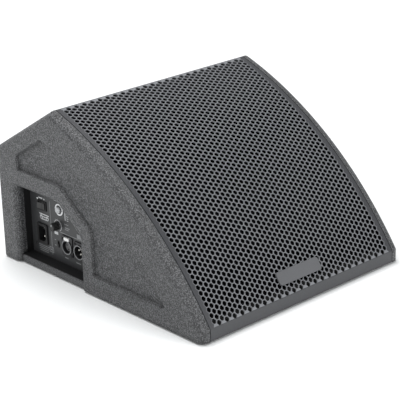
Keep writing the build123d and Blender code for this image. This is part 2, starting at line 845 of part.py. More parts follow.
housing_depth = 58.0
housing_wall = 2.0
with BuildPart() as amplifier_housing:
    with BuildSketch(Plane.YZ.offset(plate_x + plate_sheet)):
        add(pocket_outline.sketch)
        offset(amount=housing_wall + 2, kind=Kind.INTERSECTION)
        with Locations((0, floor_top + fit_gap)):
            Rectangle(2 * depth, depth, align=(Align.CENTER, Align.MAX), mode=Mode.SUBTRACT)
    extrude(amount=housing_depth)
    with BuildSketch(Plane.YZ.offset(plate_x + plate_sheet)):
        add(pocket_outline.sketch)
        offset(amount=2, kind=Kind.INTERSECTION)
        with Locations((0, floor_top + fit_gap + housing_wall)):
            Rectangle(2 * depth, depth, align=(Align.CENTER, Align.MAX), mode=Mode.SUBTRACT)
    extrude(amount=housing_depth - housing_wall, mode=Mode.SUBTRACT)

board_sheet = 1.6
board_size = (104.0, 92.0)
board_gap = 28.0                # connector plate to amplifier board
board_at = (8.0 + board_size[0] / 2, 22.0 + board_size[1] / 2)
spacer_radius = 2.5
spacer_at = [(14.0, 28.0), (14.0, 110.0), (104.0, 28.0), (104.0, 98.0)]
with BuildPart() as amplifier_board:
    with BuildSketch(plate_back.offset(-board_gap)):
        with Locations(board_at):
            Rectangle(*board_size)
    extrude(amount=-board_sheet)
with BuildPart() as board_spacers:
    at_plate(spacer_at, plate_back, -board_gap, lambda: Circle(spacer_radius))
supply_at = (86.0, 60.0)
supply_size = (36.0, 42.0, 18.0)
with BuildPart() as power_supply:
    with BuildSketch(plate_back.offset(-board_gap - board_sheet)):
        with Locations(supply_at):
            Rectangle(*supply_size[:2])
    extrude(amount=-supply_size[2])
    fillet(power_supply.edges().filter_by(Axis.X), radius=3.0)
fin_count = 7
fin_height = 14.0
fin_sheet = 2.0
sink_base = 4.0
sink_size = (46.0, 70.0)
sink_at = (36.0, 68.0)
with BuildPart() as heatsink:
    with BuildSketch(plate_back.offset(-housing_depth + housing_wall)):
        with Locations(sink_at):
            Rectangle(*sink_size)
    extrude(amount=sink_base)
    with BuildSketch(plate_back.offset(-housing_depth + housing_wall + sink_base)):
        with Locations(sink_at):
            with GridLocations(sink_size[0] / fin_count, 1, fin_count, 1):
                Rectangle(fin_sheet, sink_size[1])
    extrude(amount=fin_height)

# ---------------------------------------------------------------- mains inlet and switch
inlet_flange = (24.5, 33.0, 2.5)
inlet_depth = 20.0
inlet_opening = (16.8, 24.8)
inlet_corner_cut = 4.5
inlet_floor = 17.0              # bottom of the inlet's mouth, below the plate's face
pin_pitch = 7.0
pin_size = (4.0, 2.0, 13.0)
with BuildPart() as mains_inlet:
    at_plate([inlet_at], plate_face, inlet_flange[2], lambda: RectangleRounded(*inlet_flange[:2], 2.0))
    at_plate([inlet_at], plate_face, -inlet_depth, lambda: Rectangle(*inlet_body))
    with BuildSketch(plate_face.offset(inlet_flange[2])) as inlet_mouth:
        with Locations(inlet_at):
            Rectangle(*inlet_opening)
        chamfer(inlet_mouth.vertices().group_by(Axis.X)[-1], length=inlet_corner_cut)
    extrude(amount=-inlet_flange[2] - inlet_floor, mode=Mode.SUBTRACT)
with BuildPart() as mains_pins:
    pins_at = [
        (inlet_at[0] - 2.0, inlet_at[1] - pin_pitch),
        (inlet_at[0] + 2.5, inlet_at[1]),
        (inlet_at[0] - 2.0, inlet_at[1] + pin_pitch),
    ]
    at_plate(pins_at, plate_face.offset(-inlet_floor), pin_size[2], lambda: Rectangle(*pin_size[:2]))

switch_flange = (22.0, 15.5, 1.5)
switch_depth = 14.0
switch_mouth = (17.0, 10.8)
switch_floor = 2.0              # thickness of the switch body's bottom
with BuildPart() as power_switch_frame:
    at_plate([switch_at], plate_face, switch_flange[2], lambda: RectangleRounded(*switch_flange[:2], 1.0))
    at_plate([switch_at], plate_face, -switch_depth, lambda: Rectangle(*switch_body))
    at_plate(
        [switch_at],
        plate_face.offset(switch_flange[2]),
        switch_floor - switch_depth - switch_flange[2],
        lambda: Rectangle(*switch_mouth),
        Mode.SUBTRACT,
    )
rocker_half = (7.6, 5.0)        # half its length and half its width
rocker_tilt = radians(8)
rocker_plane = Plane(
    origin=(plate_x, pocket_rear - switch_at[0], base + switch_at[1]),
    x_dir=(sin(rocker_tilt), -cos(rocker_tilt), 0),
    z_dir=(0, 0, -1),
)
with BuildPart() as power_rocker:
    with BuildSketch(rocker_plane):
        with BuildLine():
            Polyline(
                (-rocker_half[0], -3),
                (rocker_half[0], -3),
                (rocker_half[0], 3.6),
                (0, 2.2),
                (-rocker_half[0], 3.6),
                close=True,
            )
        make_face()
    extrude(amount=rocker_half[1], both=True)


# ---------------------------------------------------------------- rotary controls
def rotary_body(place):
    """Control body behind the plate with its threaded bushing through it."""
    with BuildPart() as body:
        at_plate([place], plate_back, -control_body[1], lambda: Rectangle(control_body[0], control_body[0]))
        at_plate([place], plate_back, plate_sheet + bushing_rise, lambda: Circle(bushing))
        at_plate(
            [place],
            plate_face.offset(bushing_rise),
            -bore_depth,
            lambda: Circle(shaft_bore),
            Mode.SUBTRACT,
        )
    return body


def rotary_knob(place, radius, height):
    """Knob with its shaft, which turns in the control's bushing."""
    with BuildPart() as knob:
        at_plate([place], plate_face.offset(knob_rise), height, lambda: Circle(radius))
        fillet(knob.faces().sort_by(Axis.X)[0].edges(), radius=0.8)
        at_plate([place], plate_face.offset(knob_rise), -shaft_length, lambda: Circle(shaft_radius))
        with BuildSketch(plate_face.offset(knob_rise + height)):
            with Locations((place[0], place[1] + radius * 0.6)):
                Rectangle(1.0, radius * 0.7)
        extrude(amount=-0.6, mode=Mode.SUBTRACT)
    return knob


control_body = (12.0, 7.0)      # side and depth of a control's body
bushing_rise = 1.5
bore_depth = 8.0
knob_rise = bushing_rise + 0.4  # knob clear of its bushing
shaft_length = 7.5
shaft_radius = 3.0
shaft_bore = 3.05
preset_disc = (5.4, 2.6)        # radius and height
volume_cap = (6.6, 11.0)
ring_radii = (9.3, 7.2)
ring_rise = 1.0
preset_encoder = rotary_body(preset_at)
preset_knob = rotary_knob(preset_at, *preset_disc)
volume_control = rotary_body(volume_at)
volume_knob = rotary_knob(volume_at, *volume_cap)
with BuildPart() as preset_ring:
    at_plate([preset_at], plate_face, ring_rise, lambda: Circle(ring_radii[0]))
    at_plate([preset_at], plate_face, ring_rise, lambda: Circle(ring_radii[1]), Mode.SUBTRACT)
with BuildPart() as status_led:
    at_plate([led_at], plate_back, plate_sheet + 0.4, lambda: Circle(led_radius))

with BuildPart() as ground_lift_frame:
    lift_foot = plate_back.offset(-lift_depth)
    at_plate([lift_at], lift_foot, lift_depth + plate_sheet, lambda: Rectangle(*lift_body))
    at_plate([lift_at], plate_face, -lift_depth, lambda: Rectangle(*lift_slot), Mode.SUBTRACT)
with BuildPart() as ground_lift_slider:
    slider_at = (lift_at[0], lift_at[1] - lift_travel / 2)
    at_plate([slider_at], plate_face.offset(0.5 - lift_depth), 6.0, lambda: Rectangle(*lift_tab))


# ---------------------------------------------------------------- signal sockets
shell_width = 26.0
shell_down = 15.5               # flange below the socket's axis
shell_sheet = 2.0
shell_corner = 3.0
barrel_rise = 3.2               # rim of the barrel above the plate
barrel_depth = 20.0
barrel_floor = 18.0             # bottom of the bore below the plate's face


def socket_shell(place, bore, flange_up):
    """Panel socket with a rectangular flange and a round open barrel."""
    with BuildPart() as shell:
        with BuildSketch(plate_face):
            with Locations((place[0], place[1] + (flange_up - shell_down) / 2)):
                RectangleRounded(shell_width, shell_down + flange_up, shell_corner)
        extrude(amount=shell_sheet)
        at_plate([place], plate_face, barrel_rise, lambda: Circle(xlr_body))
        at_plate([place], plate_face, -barrel_depth, lambda: Circle(xlr_body))
        at_plate(
            [place],
            plate_face.offset(barrel_rise),
            -barrel_rise - barrel_floor,
            lambda: Circle(bore),
            Mode.SUBTRACT,
        )
        screws = [(place[0] + step[0], place[1] + step[1]) for step in xlr_screws_at]
        at_plate(screws, plate_face, shell_sheet, lambda: Circle(xlr_screw[0]), Mode.SUBTRACT)
    return shell


xlr_bore = 9.7
input_bore = 9.2
contact_circle = 4.2
insert_drop = 1.0
insert_radius = 7.2
contact_hole = (1.4, 10.0)      # radius and depth
pin_radius = 1.2
pin_length = 17.2
latch_drop = 2.5                # foot of the push tab below the plate's face
latch_height = 6.0
latch_at = (input_at[0], input_at[1] + latch_rise)
with BuildPart() as xlr_input_shell:
    add(socket_shell(input_at, input_bore, 17.5).part)
    at_plate(
        [latch_at],
        plate_face.offset(barrel_rise),
        -barrel_rise - barrel_depth,
        lambda: Rectangle(latch_size[0] + 2 * latch_gap, latch_size[1] + 2 * latch_gap),
        Mode.SUBTRACT,
    )
with BuildPart() as xlr_input_insert:
    at_plate(
        [input_at],
        plate_face.offset(-barrel_floor),
        barrel_floor - insert_drop,
        lambda: Circle(insert_radius),
    )
    with BuildSketch(plate_face.offset(-insert_drop)):
        with Locations(input_at):
            with PolarLocations(contact_circle, 3, start_angle=-90):
                Circle(contact_hole[0])
    extrude(amount=-contact_hole[1], mode=Mode.SUBTRACT)
with BuildPart() as xlr_latch:
    latch_foot = plate_face.offset(-latch_drop)
    at_plate([latch_at], latch_foot, latch_height, lambda: RectangleRounded(*latch_size, 2.0))
    fillet(xlr_latch.faces().sort_by(Axis.X)[0].edges(), radius=0.8)
xlr_link_shell = socket_shell(link_at, xlr_bore, shell_down)
with BuildPart() as xlr_link_pins:
    with BuildSketch(plate_face.offset(-barrel_floor)):
        with Locations(link_at):
            with PolarLocations(contact_circle, 3, start_angle=-90):
                Circle(pin_radius)
    extrude(amount=pin_length)

with BuildPart() as plate_screws:
    for place in plate_screws_at:
        seat = plate_face.offset(0)
        seat.origin = plate_face.from_local_coords(Vector(*place, 0))
        screw(seat, *plate_screw, *plate_screw_head)
with BuildPart() as xlr_screws:
    for xlr in (input_at, link_at):
        for step in xlr_screws_at:
            seat = plate_face.offset(shell_sheet)
            spot = Vector(xlr[0] + step[0], xlr[1] + step[1], shell_sheet)
            seat.origin = plate_face.from_local_coords(spot)
            screw(seat, *xlr_screw, *xlr_screw_head)

# ---------------------------------------------------------------- files
pieces = {
    "left_side_panel": left_side_panel,
    "right_side_panel": right_side_panel,
    "bottom_panel": bottom_panel,
    "rear_panel": rear_panel,
    "rear_slope_panel": rear_slope_panel,
    "front_baffle": front_baffle,
    "port_tubes": port_tubes,
    "rear_brace": rear_brace,
    "damping_wadding": damping_wadding,
    "recess_frame": recess_frame,
    "rubber_feet": rubber_feet,
    "foot_screws": foot_screws,
    "handle_cup": handle_cup,
    "handle_grip": handle_grip,
    "handle_screws": handle_screws,
    "pole_cup": pole_cup,
    "pole_cup_screws": pole_cup_screws,
    "grille": grille,
    "grille_foam": grille_foam,
    "grille_screws": grille_screws,
    "badge": badge,
    "basket": basket,
    "top_plate": top_plate,
    "magnet_ring": magnet_ring,
    "back_plate": back_plate,
    "compression_driver": compression_driver,
    "horn": horn,
    "voice_coil": voice_coil,
    "cone": cone,
    "surround": surround,
    "spider": spider,
    "gasket": gasket,
    "driver_screws": driver_screws,
    "connector_plate": connector_plate,
    "plate_screws": plate_screws,
    "amplifier_housing": amplifier_housing,
    "amplifier_board": amplifier_board,
    "board_spacers": board_spacers,
    "power_supply": power_supply,
    "heatsink": heatsink,
    "mains_inlet": mains_inlet,
    "mains_pins": mains_pins,
    "power_switch_frame": power_switch_frame,
    "power_rocker": power_rocker,
    "preset_encoder": preset_encoder,
    "preset_ring": preset_ring,
    "preset_knob": preset_knob,
    "volume_control": volume_control,
    "volume_knob": volume_knob,
    "status_led": status_led,
    "ground_lift_frame": ground_lift_frame,
    "ground_lift_slider": ground_lift_slider,
    "xlr_input_shell": xlr_input_shell,
    "xlr_input_insert": xlr_input_insert,
    "xlr_latch": xlr_latch,
    "xlr_link_shell": xlr_link_shell,
    "xlr_link_pins": xlr_link_pins,
    "xlr_screws": xlr_screws,
}
for name, piece in pieces.items():
    piece.part.label = name
    export_step(piece.part, f"parts/{name}.step")
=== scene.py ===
"""Stage monitor wedge: the looks of its pieces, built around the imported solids.

Metres. +Z is up, the grille faces -Y and up, and the connector bay opens towards -X.
"""
from __future__ import annotations

import json
import logging
import math
from dataclasses import dataclass
from enum import Enum

import bmesh
import bpy
from mathutils import Matrix, Vector, noise


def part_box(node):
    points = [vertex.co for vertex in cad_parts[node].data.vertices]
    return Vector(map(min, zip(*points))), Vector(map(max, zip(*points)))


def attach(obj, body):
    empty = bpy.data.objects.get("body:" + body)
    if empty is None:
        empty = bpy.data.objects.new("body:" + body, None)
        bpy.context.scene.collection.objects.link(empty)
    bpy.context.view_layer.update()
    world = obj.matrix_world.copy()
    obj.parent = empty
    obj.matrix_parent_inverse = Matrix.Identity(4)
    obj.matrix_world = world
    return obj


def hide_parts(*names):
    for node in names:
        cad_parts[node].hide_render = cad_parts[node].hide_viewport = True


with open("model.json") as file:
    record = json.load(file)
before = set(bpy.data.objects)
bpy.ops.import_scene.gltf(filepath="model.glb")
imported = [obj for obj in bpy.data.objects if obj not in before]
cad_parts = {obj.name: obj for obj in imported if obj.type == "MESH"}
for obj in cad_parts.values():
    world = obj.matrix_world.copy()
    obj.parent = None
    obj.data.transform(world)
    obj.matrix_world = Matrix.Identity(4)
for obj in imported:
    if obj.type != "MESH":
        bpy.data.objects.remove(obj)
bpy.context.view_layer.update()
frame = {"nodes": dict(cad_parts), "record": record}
log = logging.getLogger("wedge")

MM = 0.001
WELD = 1e-6
SMOOTH_BELOW = math.radians(35)
Color = tuple[float, float, float]


# ---------------------------------------------------------------- node trees
class Graph:
    """A node tree with short calls that add and join its nodes."""

    def __init__(self, tree: bpy.types.NodeTree) -> None:
        """Keep the tree that the calls work on."""
        self.tree = tree

    def add(self, kind: str, inputs: dict | None = None, **settings) -> bpy.types.Node:
        """Add one node.

        Args:
            kind: Blender's name of the node.
            inputs: values or sockets, by the input's name or number.
            settings: properties of the node.

        Returns:
            The new node.
        """
        node = self.tree.nodes.new(kind)
        for name, value in settings.items():
            setattr(node, name, value)
        for name, value in (inputs or {}).items():
            socket = node.inputs[name]
            if isinstance(value, bpy.types.NodeSocket):
                self.tree.links.new(value, socket)
            else:
                socket.default_value = value
        return node

    def math(self, operation: str, *values) -> bpy.types.NodeSocket:
        """Work out one number from sockets or plain values.

        Args:
            operation: name of the Math node's operation.
            values: its inputs in order.

        Returns:
            The socket with the result.
        """
        node = self.add("ShaderNodeMath", dict(enumerate(values)), operation=operation)
        return node.outputs[0]

    def mix(self, factor, low, high) -> bpy.types.NodeSocket:
        """Blend two colours, each one plain or a socket."""
        node = self.add("ShaderNodeMix", {"Factor": factor, "A": low, "B": high}, data_type="RGBA")
        return next(socket for socket in node.outputs if socket.type == "RGBA")

    def remap(self, value, source: tuple, target: tuple = (0.0, 1.0)) -> bpy.types.NodeSocket:
        """Carry a number from one range over to another."""
        ends = {"From Min": source[0], "From Max": source[1], "To Min": target[0], "To Max": target[1]}
        return self.add("ShaderNodeMapRange", {"Value": value, **ends}).outputs["Result"]

    def cloud(self, place, scale, detail: float = 2.0, distortion: float = 0.0) -> bpy.types.NodeSocket:
        """Noise at a place, between 0 and 1."""
        inputs = {"Vector": place, "Scale": scale, "Detail": detail, "Distortion": distortion}
        return self.add("ShaderNodeTexNoise", inputs).outputs["Fac"]

    def position(self) -> bpy.types.bpy_prop_collection:
        """Position of each point of a geometry, as X, Y and Z sockets."""
        where = self.add("GeometryNodeInputPosition").outputs[0]
        return self.add("ShaderNodeSeparateXYZ", {0: where}).outputs

    def move(self, geometry: bpy.types.NodeSocket, **parts) -> bpy.types.NodeSocket:
        """Set the points of a geometry to a position given by its X, Y and Z."""
        at = self.add("ShaderNodeCombineXYZ", parts).outputs[0]
        return self.add("GeometryNodeSetPosition", {"Geometry": geometry, "Position": at}).outputs[0]


def new_group(kind: str, name: str, inputs: dict, outputs: dict) -> tuple[Graph, dict, bpy.types.Node]:
    """Start a node group with named sockets.

    Args:
        kind: "ShaderNodeTree" or "GeometryNodeTree".
        name: name of the group.
        inputs: socket type, or (type, default), by name.
        outputs: socket type by name.

    Returns:
        The graph, its input sockets by name, and its output node.
    """
    tree = bpy.data.node_groups.new(name, kind)
    for label, spec in inputs.items():
        socket_type, default = spec if isinstance(spec, tuple) else (spec, None)
        socket = tree.interface.new_socket(label, in_out="INPUT", socket_type=socket_type)
        if default is not None:
            socket.default_value = default
    for label, socket_type in outputs.items():
        tree.interface.new_socket(label, in_out="OUTPUT", socket_type=socket_type)
    graph = Graph(tree)
    entry = graph.add("NodeGroupInput")
    leave = graph.add("NodeGroupOutput")
    return graph, {socket.name: socket for socket in entry.outputs if socket.name}, leave


FLOAT = "NodeSocketFloat"
VECTOR = "NodeSocketVector"
GEOMETRY = "NodeSocketGeometry"
MATERIAL = "NodeSocketMaterial"
RELIEF_INPUTS = {"Vector": VECTOR, "Grains per Metre": (FLOAT, 1000.0)}
RELIEF_OUTPUTS = {"Height": FLOAT, "Mask": FLOAT}


class Relief(Enum):
    """Kinds of surface relief, each one a shader group."""

    PEBBLED = "pebbled_relief"
    FINE = "fine_relief"
    BRUSHED = "brushed_relief"
    OPEN_CELL = "open_cell_relief"
    WOVEN = "woven_relief"
    GRAINED = "grained_relief"


def relief_group(kind: Relief, recipe) -> bpy.types.NodeTree:
    """Make the shader group of one relief.

    Args:
        kind: the relief that this group stands for.
        recipe: function of the graph, the place and the grains per metre that
            returns the sockets of height and mask.

    Returns:
        The group's tree.
    """
    graph, get, leave = new_group("ShaderNodeTree", kind.value, RELIEF_INPUTS, RELIEF_OUTPUTS)
    for label, socket in zip(RELIEF_OUTPUTS, recipe(graph, get["Vector"], get["Grains per Metre"])):
        graph.tree.links.new(socket, leave.inputs[label])
    return graph.tree


def pebbled(graph: Graph, place, grain) -> tuple:
    """Round grains of a sprayed coating, with a few that stand higher, and sparse light flecks that are
    painted sheen on the grains.
    """
    cells = graph.add("ShaderNodeTexVoronoi", {"Vector": place, "Scale": grain})
    dome = graph.math("SUBTRACT", 1.0, cells.outputs["Distance"])
    clumps = graph.cloud(place, graph.math("MULTIPLY", grain, 0.55), 3.0)
    # painted sheen: sparse light flecks in the colour stand for glints on the grain peaks
    sheen_specks = graph.cloud(place, graph.math("MULTIPLY", grain, 0.9), 1.0)
    return graph.math("MULTIPLY", dome, clumps), graph.remap(sheen_specks, (0.42, 0.72))


def fine(graph: Graph, place, grain) -> tuple:
    """Even fine grain of moulded plastic or powder paint."""
    return graph.cloud(place, grain, 4.0), graph.cloud(place, graph.math("MULTIPLY", grain, 0.1))


def stretched(share: float):
    """Recipe of lines drawn out along X by a share of their width, as on brushed metal or timber."""

    def recipe(graph: Graph, place, grain) -> tuple:
        drawn = graph.add("ShaderNodeMapping", {"Vector": place, "Scale": (share, 1.0, 1.0)})
        lines = graph.cloud(drawn.outputs["Vector"], grain, 5.0, 0.3)
        return lines, lines

    return recipe


def open_cell(graph: Graph, place, grain) -> tuple:
    """Open pores of foam."""
    inputs = {"Vector": place, "Scale": grain}
    cells = graph.add("ShaderNodeTexVoronoi", inputs, feature="DISTANCE_TO_EDGE")
    pores = graph.math("SUBTRACT", 1.0, graph.remap(cells.outputs["Distance"], (0.0, 0.2)))
    return pores, pores


def woven(graph: Graph, place, grain) -> tuple:
    """Crossed threads of a plain cloth."""
    inputs = {"Vector": place, "Scale": grain, "Distortion": 0.4}
    threads = [
        graph.add("ShaderNodeTexWave", inputs, bands_direction=direction).outputs["Fac"]
        for direction in ("X", "Y")
    ]
    crossed = graph.math("MAXIMUM", *threads)
    return crossed, crossed


RECIPES = {
    Relief.PEBBLED: pebbled,
    Relief.FINE: fine,
    Relief.BRUSHED: stretched(0.02),
    Relief.OPEN_CELL: open_cell,
    Relief.WOVEN: woven,
    Relief.GRAINED: stretched(0.06),
}


class ReliefGroups:
    """Shader groups for surface relief, each built once and shared."""

    def __init__(self) -> None:
        """Build every group."""
        self.trees = {kind: relief_group(kind, recipe) for kind, recipe in RECIPES.items()}
        self.drift = self.surface_drift()

    @staticmethod
    def surface_drift() -> bpy.types.NodeTree:
        """Slow change of tone over a large surface, from handling and dust."""
        inputs = {"Vector": VECTOR, "Patch Size": (FLOAT, 0.12)}
        graph, get, leave = new_group("ShaderNodeTree", "surface_drift", inputs, {"Mask": FLOAT})
        scale = graph.math("DIVIDE", 1.0, get["Patch Size"])
        mask = graph.remap(graph.cloud(get["Vector"], scale, 3.0), (0.3, 0.7))
        graph.tree.links.new(mask, leave.inputs["Mask"])
        return graph.tree


@dataclass(frozen=True)
class Finish:
    """One finish: its relief, its two tones and how it reflects."""

    name: str
    relief: Relief
    dark: Color
    light: Color
    roughness: tuple[float, float]
    metallic: float = 0.0
    grains: float = 2500.0
    depth: float = 0.00004
    strength: float = 0.4
    coat: float = 0.0
    specular: float = 0.5
    # reach in metres of the painted shade in inner corners; 0 paints none
    crease_shade: float = 0.0

    def build(self, groups: ReliefGroups) -> bpy.types.Material:
        """Make the material.

        Args:
            groups: the shared relief groups.

        Returns:
            The new material.
        """
        material = bpy.data.materials.new(self.name)
        material.use_nodes = True
        graph = Graph(material.node_tree)
        shader = material.node_tree.nodes["Principled BSDF"]
        place = graph.add("ShaderNodeTexCoord").outputs["Object"]
        relief = graph.add("ShaderNodeGroup", node_tree=groups.trees[self.relief])
        relief.inputs["Grains per Metre"].default_value = self.grains
        drift = graph.add("ShaderNodeGroup", node_tree=groups.drift)
        for group in (relief, drift):
            graph.tree.links.new(place, group.inputs["Vector"])
        light = (*self.light, 1.0)
        color = graph.mix(relief.outputs["Mask"], (*self.dark, 1.0), light)
        color = graph.mix(graph.math("MULTIPLY", drift.outputs["Mask"], 0.12), color, light)
        # painted shade: inner corners and the walls of sunk reliefs darkened in the colour
        if self.crease_shade:
            color = self.paint_crease_shade(graph, color)
        bump = graph.add(
            "ShaderNodeBump",
            {"Height": relief.outputs["Height"], "Distance": self.depth, "Strength": self.strength},
        )
        links = graph.tree.links
        links.new(color, shader.inputs["Base Color"])
        links.new(graph.remap(drift.outputs["Mask"], (0.0, 1.0), self.roughness), shader.inputs["Roughness"])
        links.new(bump.outputs["Normal"], shader.inputs["Normal"])
        shader.inputs["Metallic"].default_value = self.metallic
        shader.inputs["Coat Weight"].default_value = self.coat
        shader.inputs["Specular IOR Level"].default_value = self.specular
        return material

    def paint_crease_shade(self, graph: Graph, color: bpy.types.NodeSocket) -> bpy.types.NodeSocket:
        """Paint shade into a colour in inner corners, where the ambient-occlusion node finds the surface
        closed in.

        Args:
            graph: the material's nodes.
            color: the colour so far.

        Returns:
            The darkened colour.
        """
        open_share = graph.add("ShaderNodeAmbientOcclusion", {"Distance": self.crease_shade}, samples=8)
        closed = graph.remap(open_share.outputs["AO"], (0.66, 0.96), (0.97, 0.0))
        # near-black colour of the painted shade
        return graph.mix(closed, color, (0.004, 0.004, 0.0042, 1.0))


FINISHES = {
    # cabinet coat: its light tone is painted sheen on sparse grain flecks
    "cabinet_coat": Finish(
        "textured_coat", Relief.PEBBLED, (0.016, 0.0165, 0.0172), (0.158, 0.16, 0.167), (0.32, 0.42),
        # the last value paints shade into the coat's inner corners and relief walls
        grains=600.0, depth=0.0018, strength=1.0, crease_shade=0.007,
    ),
    "grille_steel": Finish(
        "grille_powder", Relief.FINE, (0.036, 0.037, 0.041), (0.05, 0.051, 0.056), (0.34, 0.42),
        grains=2600.0, depth=0.00005, strength=0.3,
    ),
    "black_foam": Finish(
        "open_foam", Relief.OPEN_CELL, (0.0012, 0.0012, 0.0014), (0.003, 0.003, 0.0034), (0.97, 1.0),
        grains=900.0, depth=0.0008, strength=0.8, specular=0.0,
    ),
    "badge_metal": Finish(
        "badge_plate", Relief.BRUSHED, (0.115, 0.117, 0.123), (0.155, 0.158, 0.166), (0.34, 0.42),
        metallic=0.35, grains=5200.0, depth=0.00004, strength=0.3,
    ),
    "black_board": Finish(
        "painted_board", Relief.FINE, (0.008, 0.008, 0.008), (0.014, 0.014, 0.014), (0.7, 0.8), grains=1200.0
    ),
    "bare_wood": Finish(
        "bare_timber", Relief.GRAINED, (0.36, 0.24, 0.13), (0.6, 0.45, 0.28), (0.55, 0.7), grains=420.0
    ),
    "black_plastic": Finish(
        "moulded_black", Relief.FINE, (0.006, 0.006, 0.0065), (0.011, 0.011, 0.0115), (0.45, 0.55),
        strength=0.25, specular=0.3,
    ),
    "wadding": Finish(
        "white_wadding", Relief.OPEN_CELL, (0.5, 0.49, 0.46), (0.78, 0.77, 0.73), (0.9, 1.0), grains=600.0,
        depth=0.0008,
    ),
    "foot_rubber": Finish(
        "foot_rubber", Relief.FINE, (0.012, 0.012, 0.012), (0.022, 0.022, 0.022), (0.7, 0.8)
    ),
    "zinc_screw": Finish(
        "zinc_plate", Relief.BRUSHED, (0.45, 0.45, 0.47), (0.62, 0.62, 0.64), (0.28, 0.4), metallic=1.0
    ),
    "black_screw": Finish(
        "black_oxide", Relief.FINE, (0.02, 0.02, 0.021), (0.035, 0.035, 0.037), (0.35, 0.45), metallic=0.4
    ),
    "black_steel": Finish(
        "satin_frame", Relief.FINE, (0.015, 0.015, 0.016), (0.025, 0.025, 0.026), (0.4, 0.5), metallic=0.2
    ),
    "plated_steel": Finish(
        "plated_steel", Relief.BRUSHED, (0.42, 0.42, 0.43), (0.58, 0.58, 0.6), (0.3, 0.42), metallic=1.0
    ),
    "ferrite": Finish(
        "ferrite", Relief.FINE, (0.03, 0.03, 0.033), (0.05, 0.05, 0.055), (0.6, 0.7), grains=900.0
    ),
    "copper_coil": Finish(
        "coil_wire", Relief.BRUSHED, (0.5, 0.22, 0.1), (0.75, 0.38, 0.2), (0.3, 0.4), metallic=0.9
    ),
    "paper_cone": Finish(
        "pressed_pulp", Relief.WOVEN, (0.01, 0.01, 0.01), (0.022, 0.022, 0.022), (0.75, 0.85), grains=160.0
    ),
    "doped_cloth": Finish(
        "doped_cloth", Relief.WOVEN, (0.01, 0.01, 0.01), (0.024, 0.024, 0.024), (0.6, 0.7), grains=260.0
    ),
    "spider_cloth": Finish(
        "varnished_cloth", Relief.WOVEN, (0.4, 0.24, 0.09), (0.62, 0.42, 0.2), (0.6, 0.7), grains=240.0
    ),
    "plate_black": Finish(
        "plate_paint", Relief.FINE, (0.026, 0.027, 0.028), (0.04, 0.041, 0.043), (0.38, 0.46), strength=0.25
    ),
    "board_green": Finish(
        "solder_mask", Relief.FINE, (0.01, 0.08, 0.03), (0.02, 0.14, 0.05), (0.25, 0.35), coat=0.3
    ),
    "pin_brass": Finish(
        "plated_contact", Relief.BRUSHED, (0.78, 0.76, 0.7), (0.92, 0.9, 0.84), (0.25, 0.35), metallic=0.35
    ),
    "heatsink_alloy": Finish(
        "extruded_alloy", Relief.BRUSHED, (0.5, 0.5, 0.52), (0.68, 0.68, 0.7), (0.3, 0.42), metallic=1.0
    ),
    "rocker_plastic": Finish(
        "rocker_gloss", Relief.FINE, (0.01, 0.01, 0.01), (0.016, 0.016, 0.016), (0.25, 0.32), strength=0.15
    ),
    "ring_white": Finish(
        "white_ring", Relief.FINE, (0.72, 0.73, 0.74), (0.82, 0.83, 0.84), (0.35, 0.45), strength=0.15
    ),
    "knob_grey": Finish(
        "grey_knob", Relief.FINE, (0.42, 0.43, 0.44), (0.52, 0.53, 0.54), (0.4, 0.5), strength=0.2
    ),
    "knob_black": Finish(
        "black_knob", Relief.FINE, (0.01, 0.01, 0.01), (0.018, 0.018, 0.018), (0.45, 0.55), strength=0.2
    ),
    "led_lens": Finish(
        "led_lens", Relief.FINE, (0.7, 0.76, 0.74), (0.86, 0.9, 0.88), (0.12, 0.2), strength=0.05, coat=0.5
    ),
    "socket_black": Finish(
        "socket_paint", Relief.FINE, (0.014, 0.014, 0.015), (0.024, 0.024, 0.026), (0.32, 0.42), metallic=0.3
    ),
    "insert_plastic": Finish(
        "insert_grey", Relief.FINE, (0.08, 0.08, 0.082), (0.12, 0.12, 0.122), (0.45, 0.55)
    ),
    "latch_metal": Finish(
        "push_tab", Relief.FINE, (0.78, 0.78, 0.77), (0.88, 0.88, 0.87), (0.3, 0.38), strength=0.12
    ),
}
# lighter copy of the grille steel for the perforated part: painted highlight standing for glints on the hole
# edges
WEB_GLINT_FINISH = Finish(
    "grille_web_glint", Relief.FINE, (0.165, 0.169, 0.18), (0.21, 0.215, 0.228), (0.3, 0.38),
    grains=2600.0, depth=0.00005, strength=0.3,
)
PRINT_FINISH = Finish(
    "plate_print", Relief.FINE, (0.5, 0.51, 0.52), (0.62, 0.63, 0.64), (0.5, 0.6), strength=0.1
)
PRINT_DIM = Finish(
    "plate_print_dim", Relief.FINE, (0.2, 0.205, 0.21), (0.28, 0.285, 0.29), (0.5, 0.6), strength=0.1
)


class Wardrobe:
    """The materials, made once from their finishes."""

    def __init__(self) -> None:
        """Build the shared groups and every slot's material."""
        self.groups = ReliefGroups()
        self.by_slot = {slot: finish.build(self.groups) for slot, finish in FINISHES.items()}
        self.grille_web_glint = WEB_GLINT_FINISH.build(self.groups)
        self.print_white = PRINT_FINISH.build(self.groups)
        self.print_dim = PRINT_DIM.build(self.groups)

    def dress_nodes(self) -> None:
        """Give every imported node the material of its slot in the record."""
        for part in frame["record"]["subparts"]:
            mesh = frame["nodes"][part["node"]].data
            mesh.materials.clear()
            mesh.materials.append(self.by_slot[part["material_slot"]])


# ---------------------------------------------------------------- making pieces
def keep(mesh: bpy.types.Mesh, name: str, body: str, slot: str, *replaced: str) -> bpy.types.Object:
    """Add a finished mesh to the model.

    Args:
        mesh: the piece's mesh, in place.
        name: name of the piece.
        body: body that it rides on.
        slot: the record's material slot; not used.
        replaced: nodes that it stands for.

    Returns:
        The new object.
    """
    piece = add_object(mesh, name)
    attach(piece, body)
    if replaced:
        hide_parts(*replaced)
    log.info("%s: %d faces on %s", name, len(mesh.polygons), body)
    return piece


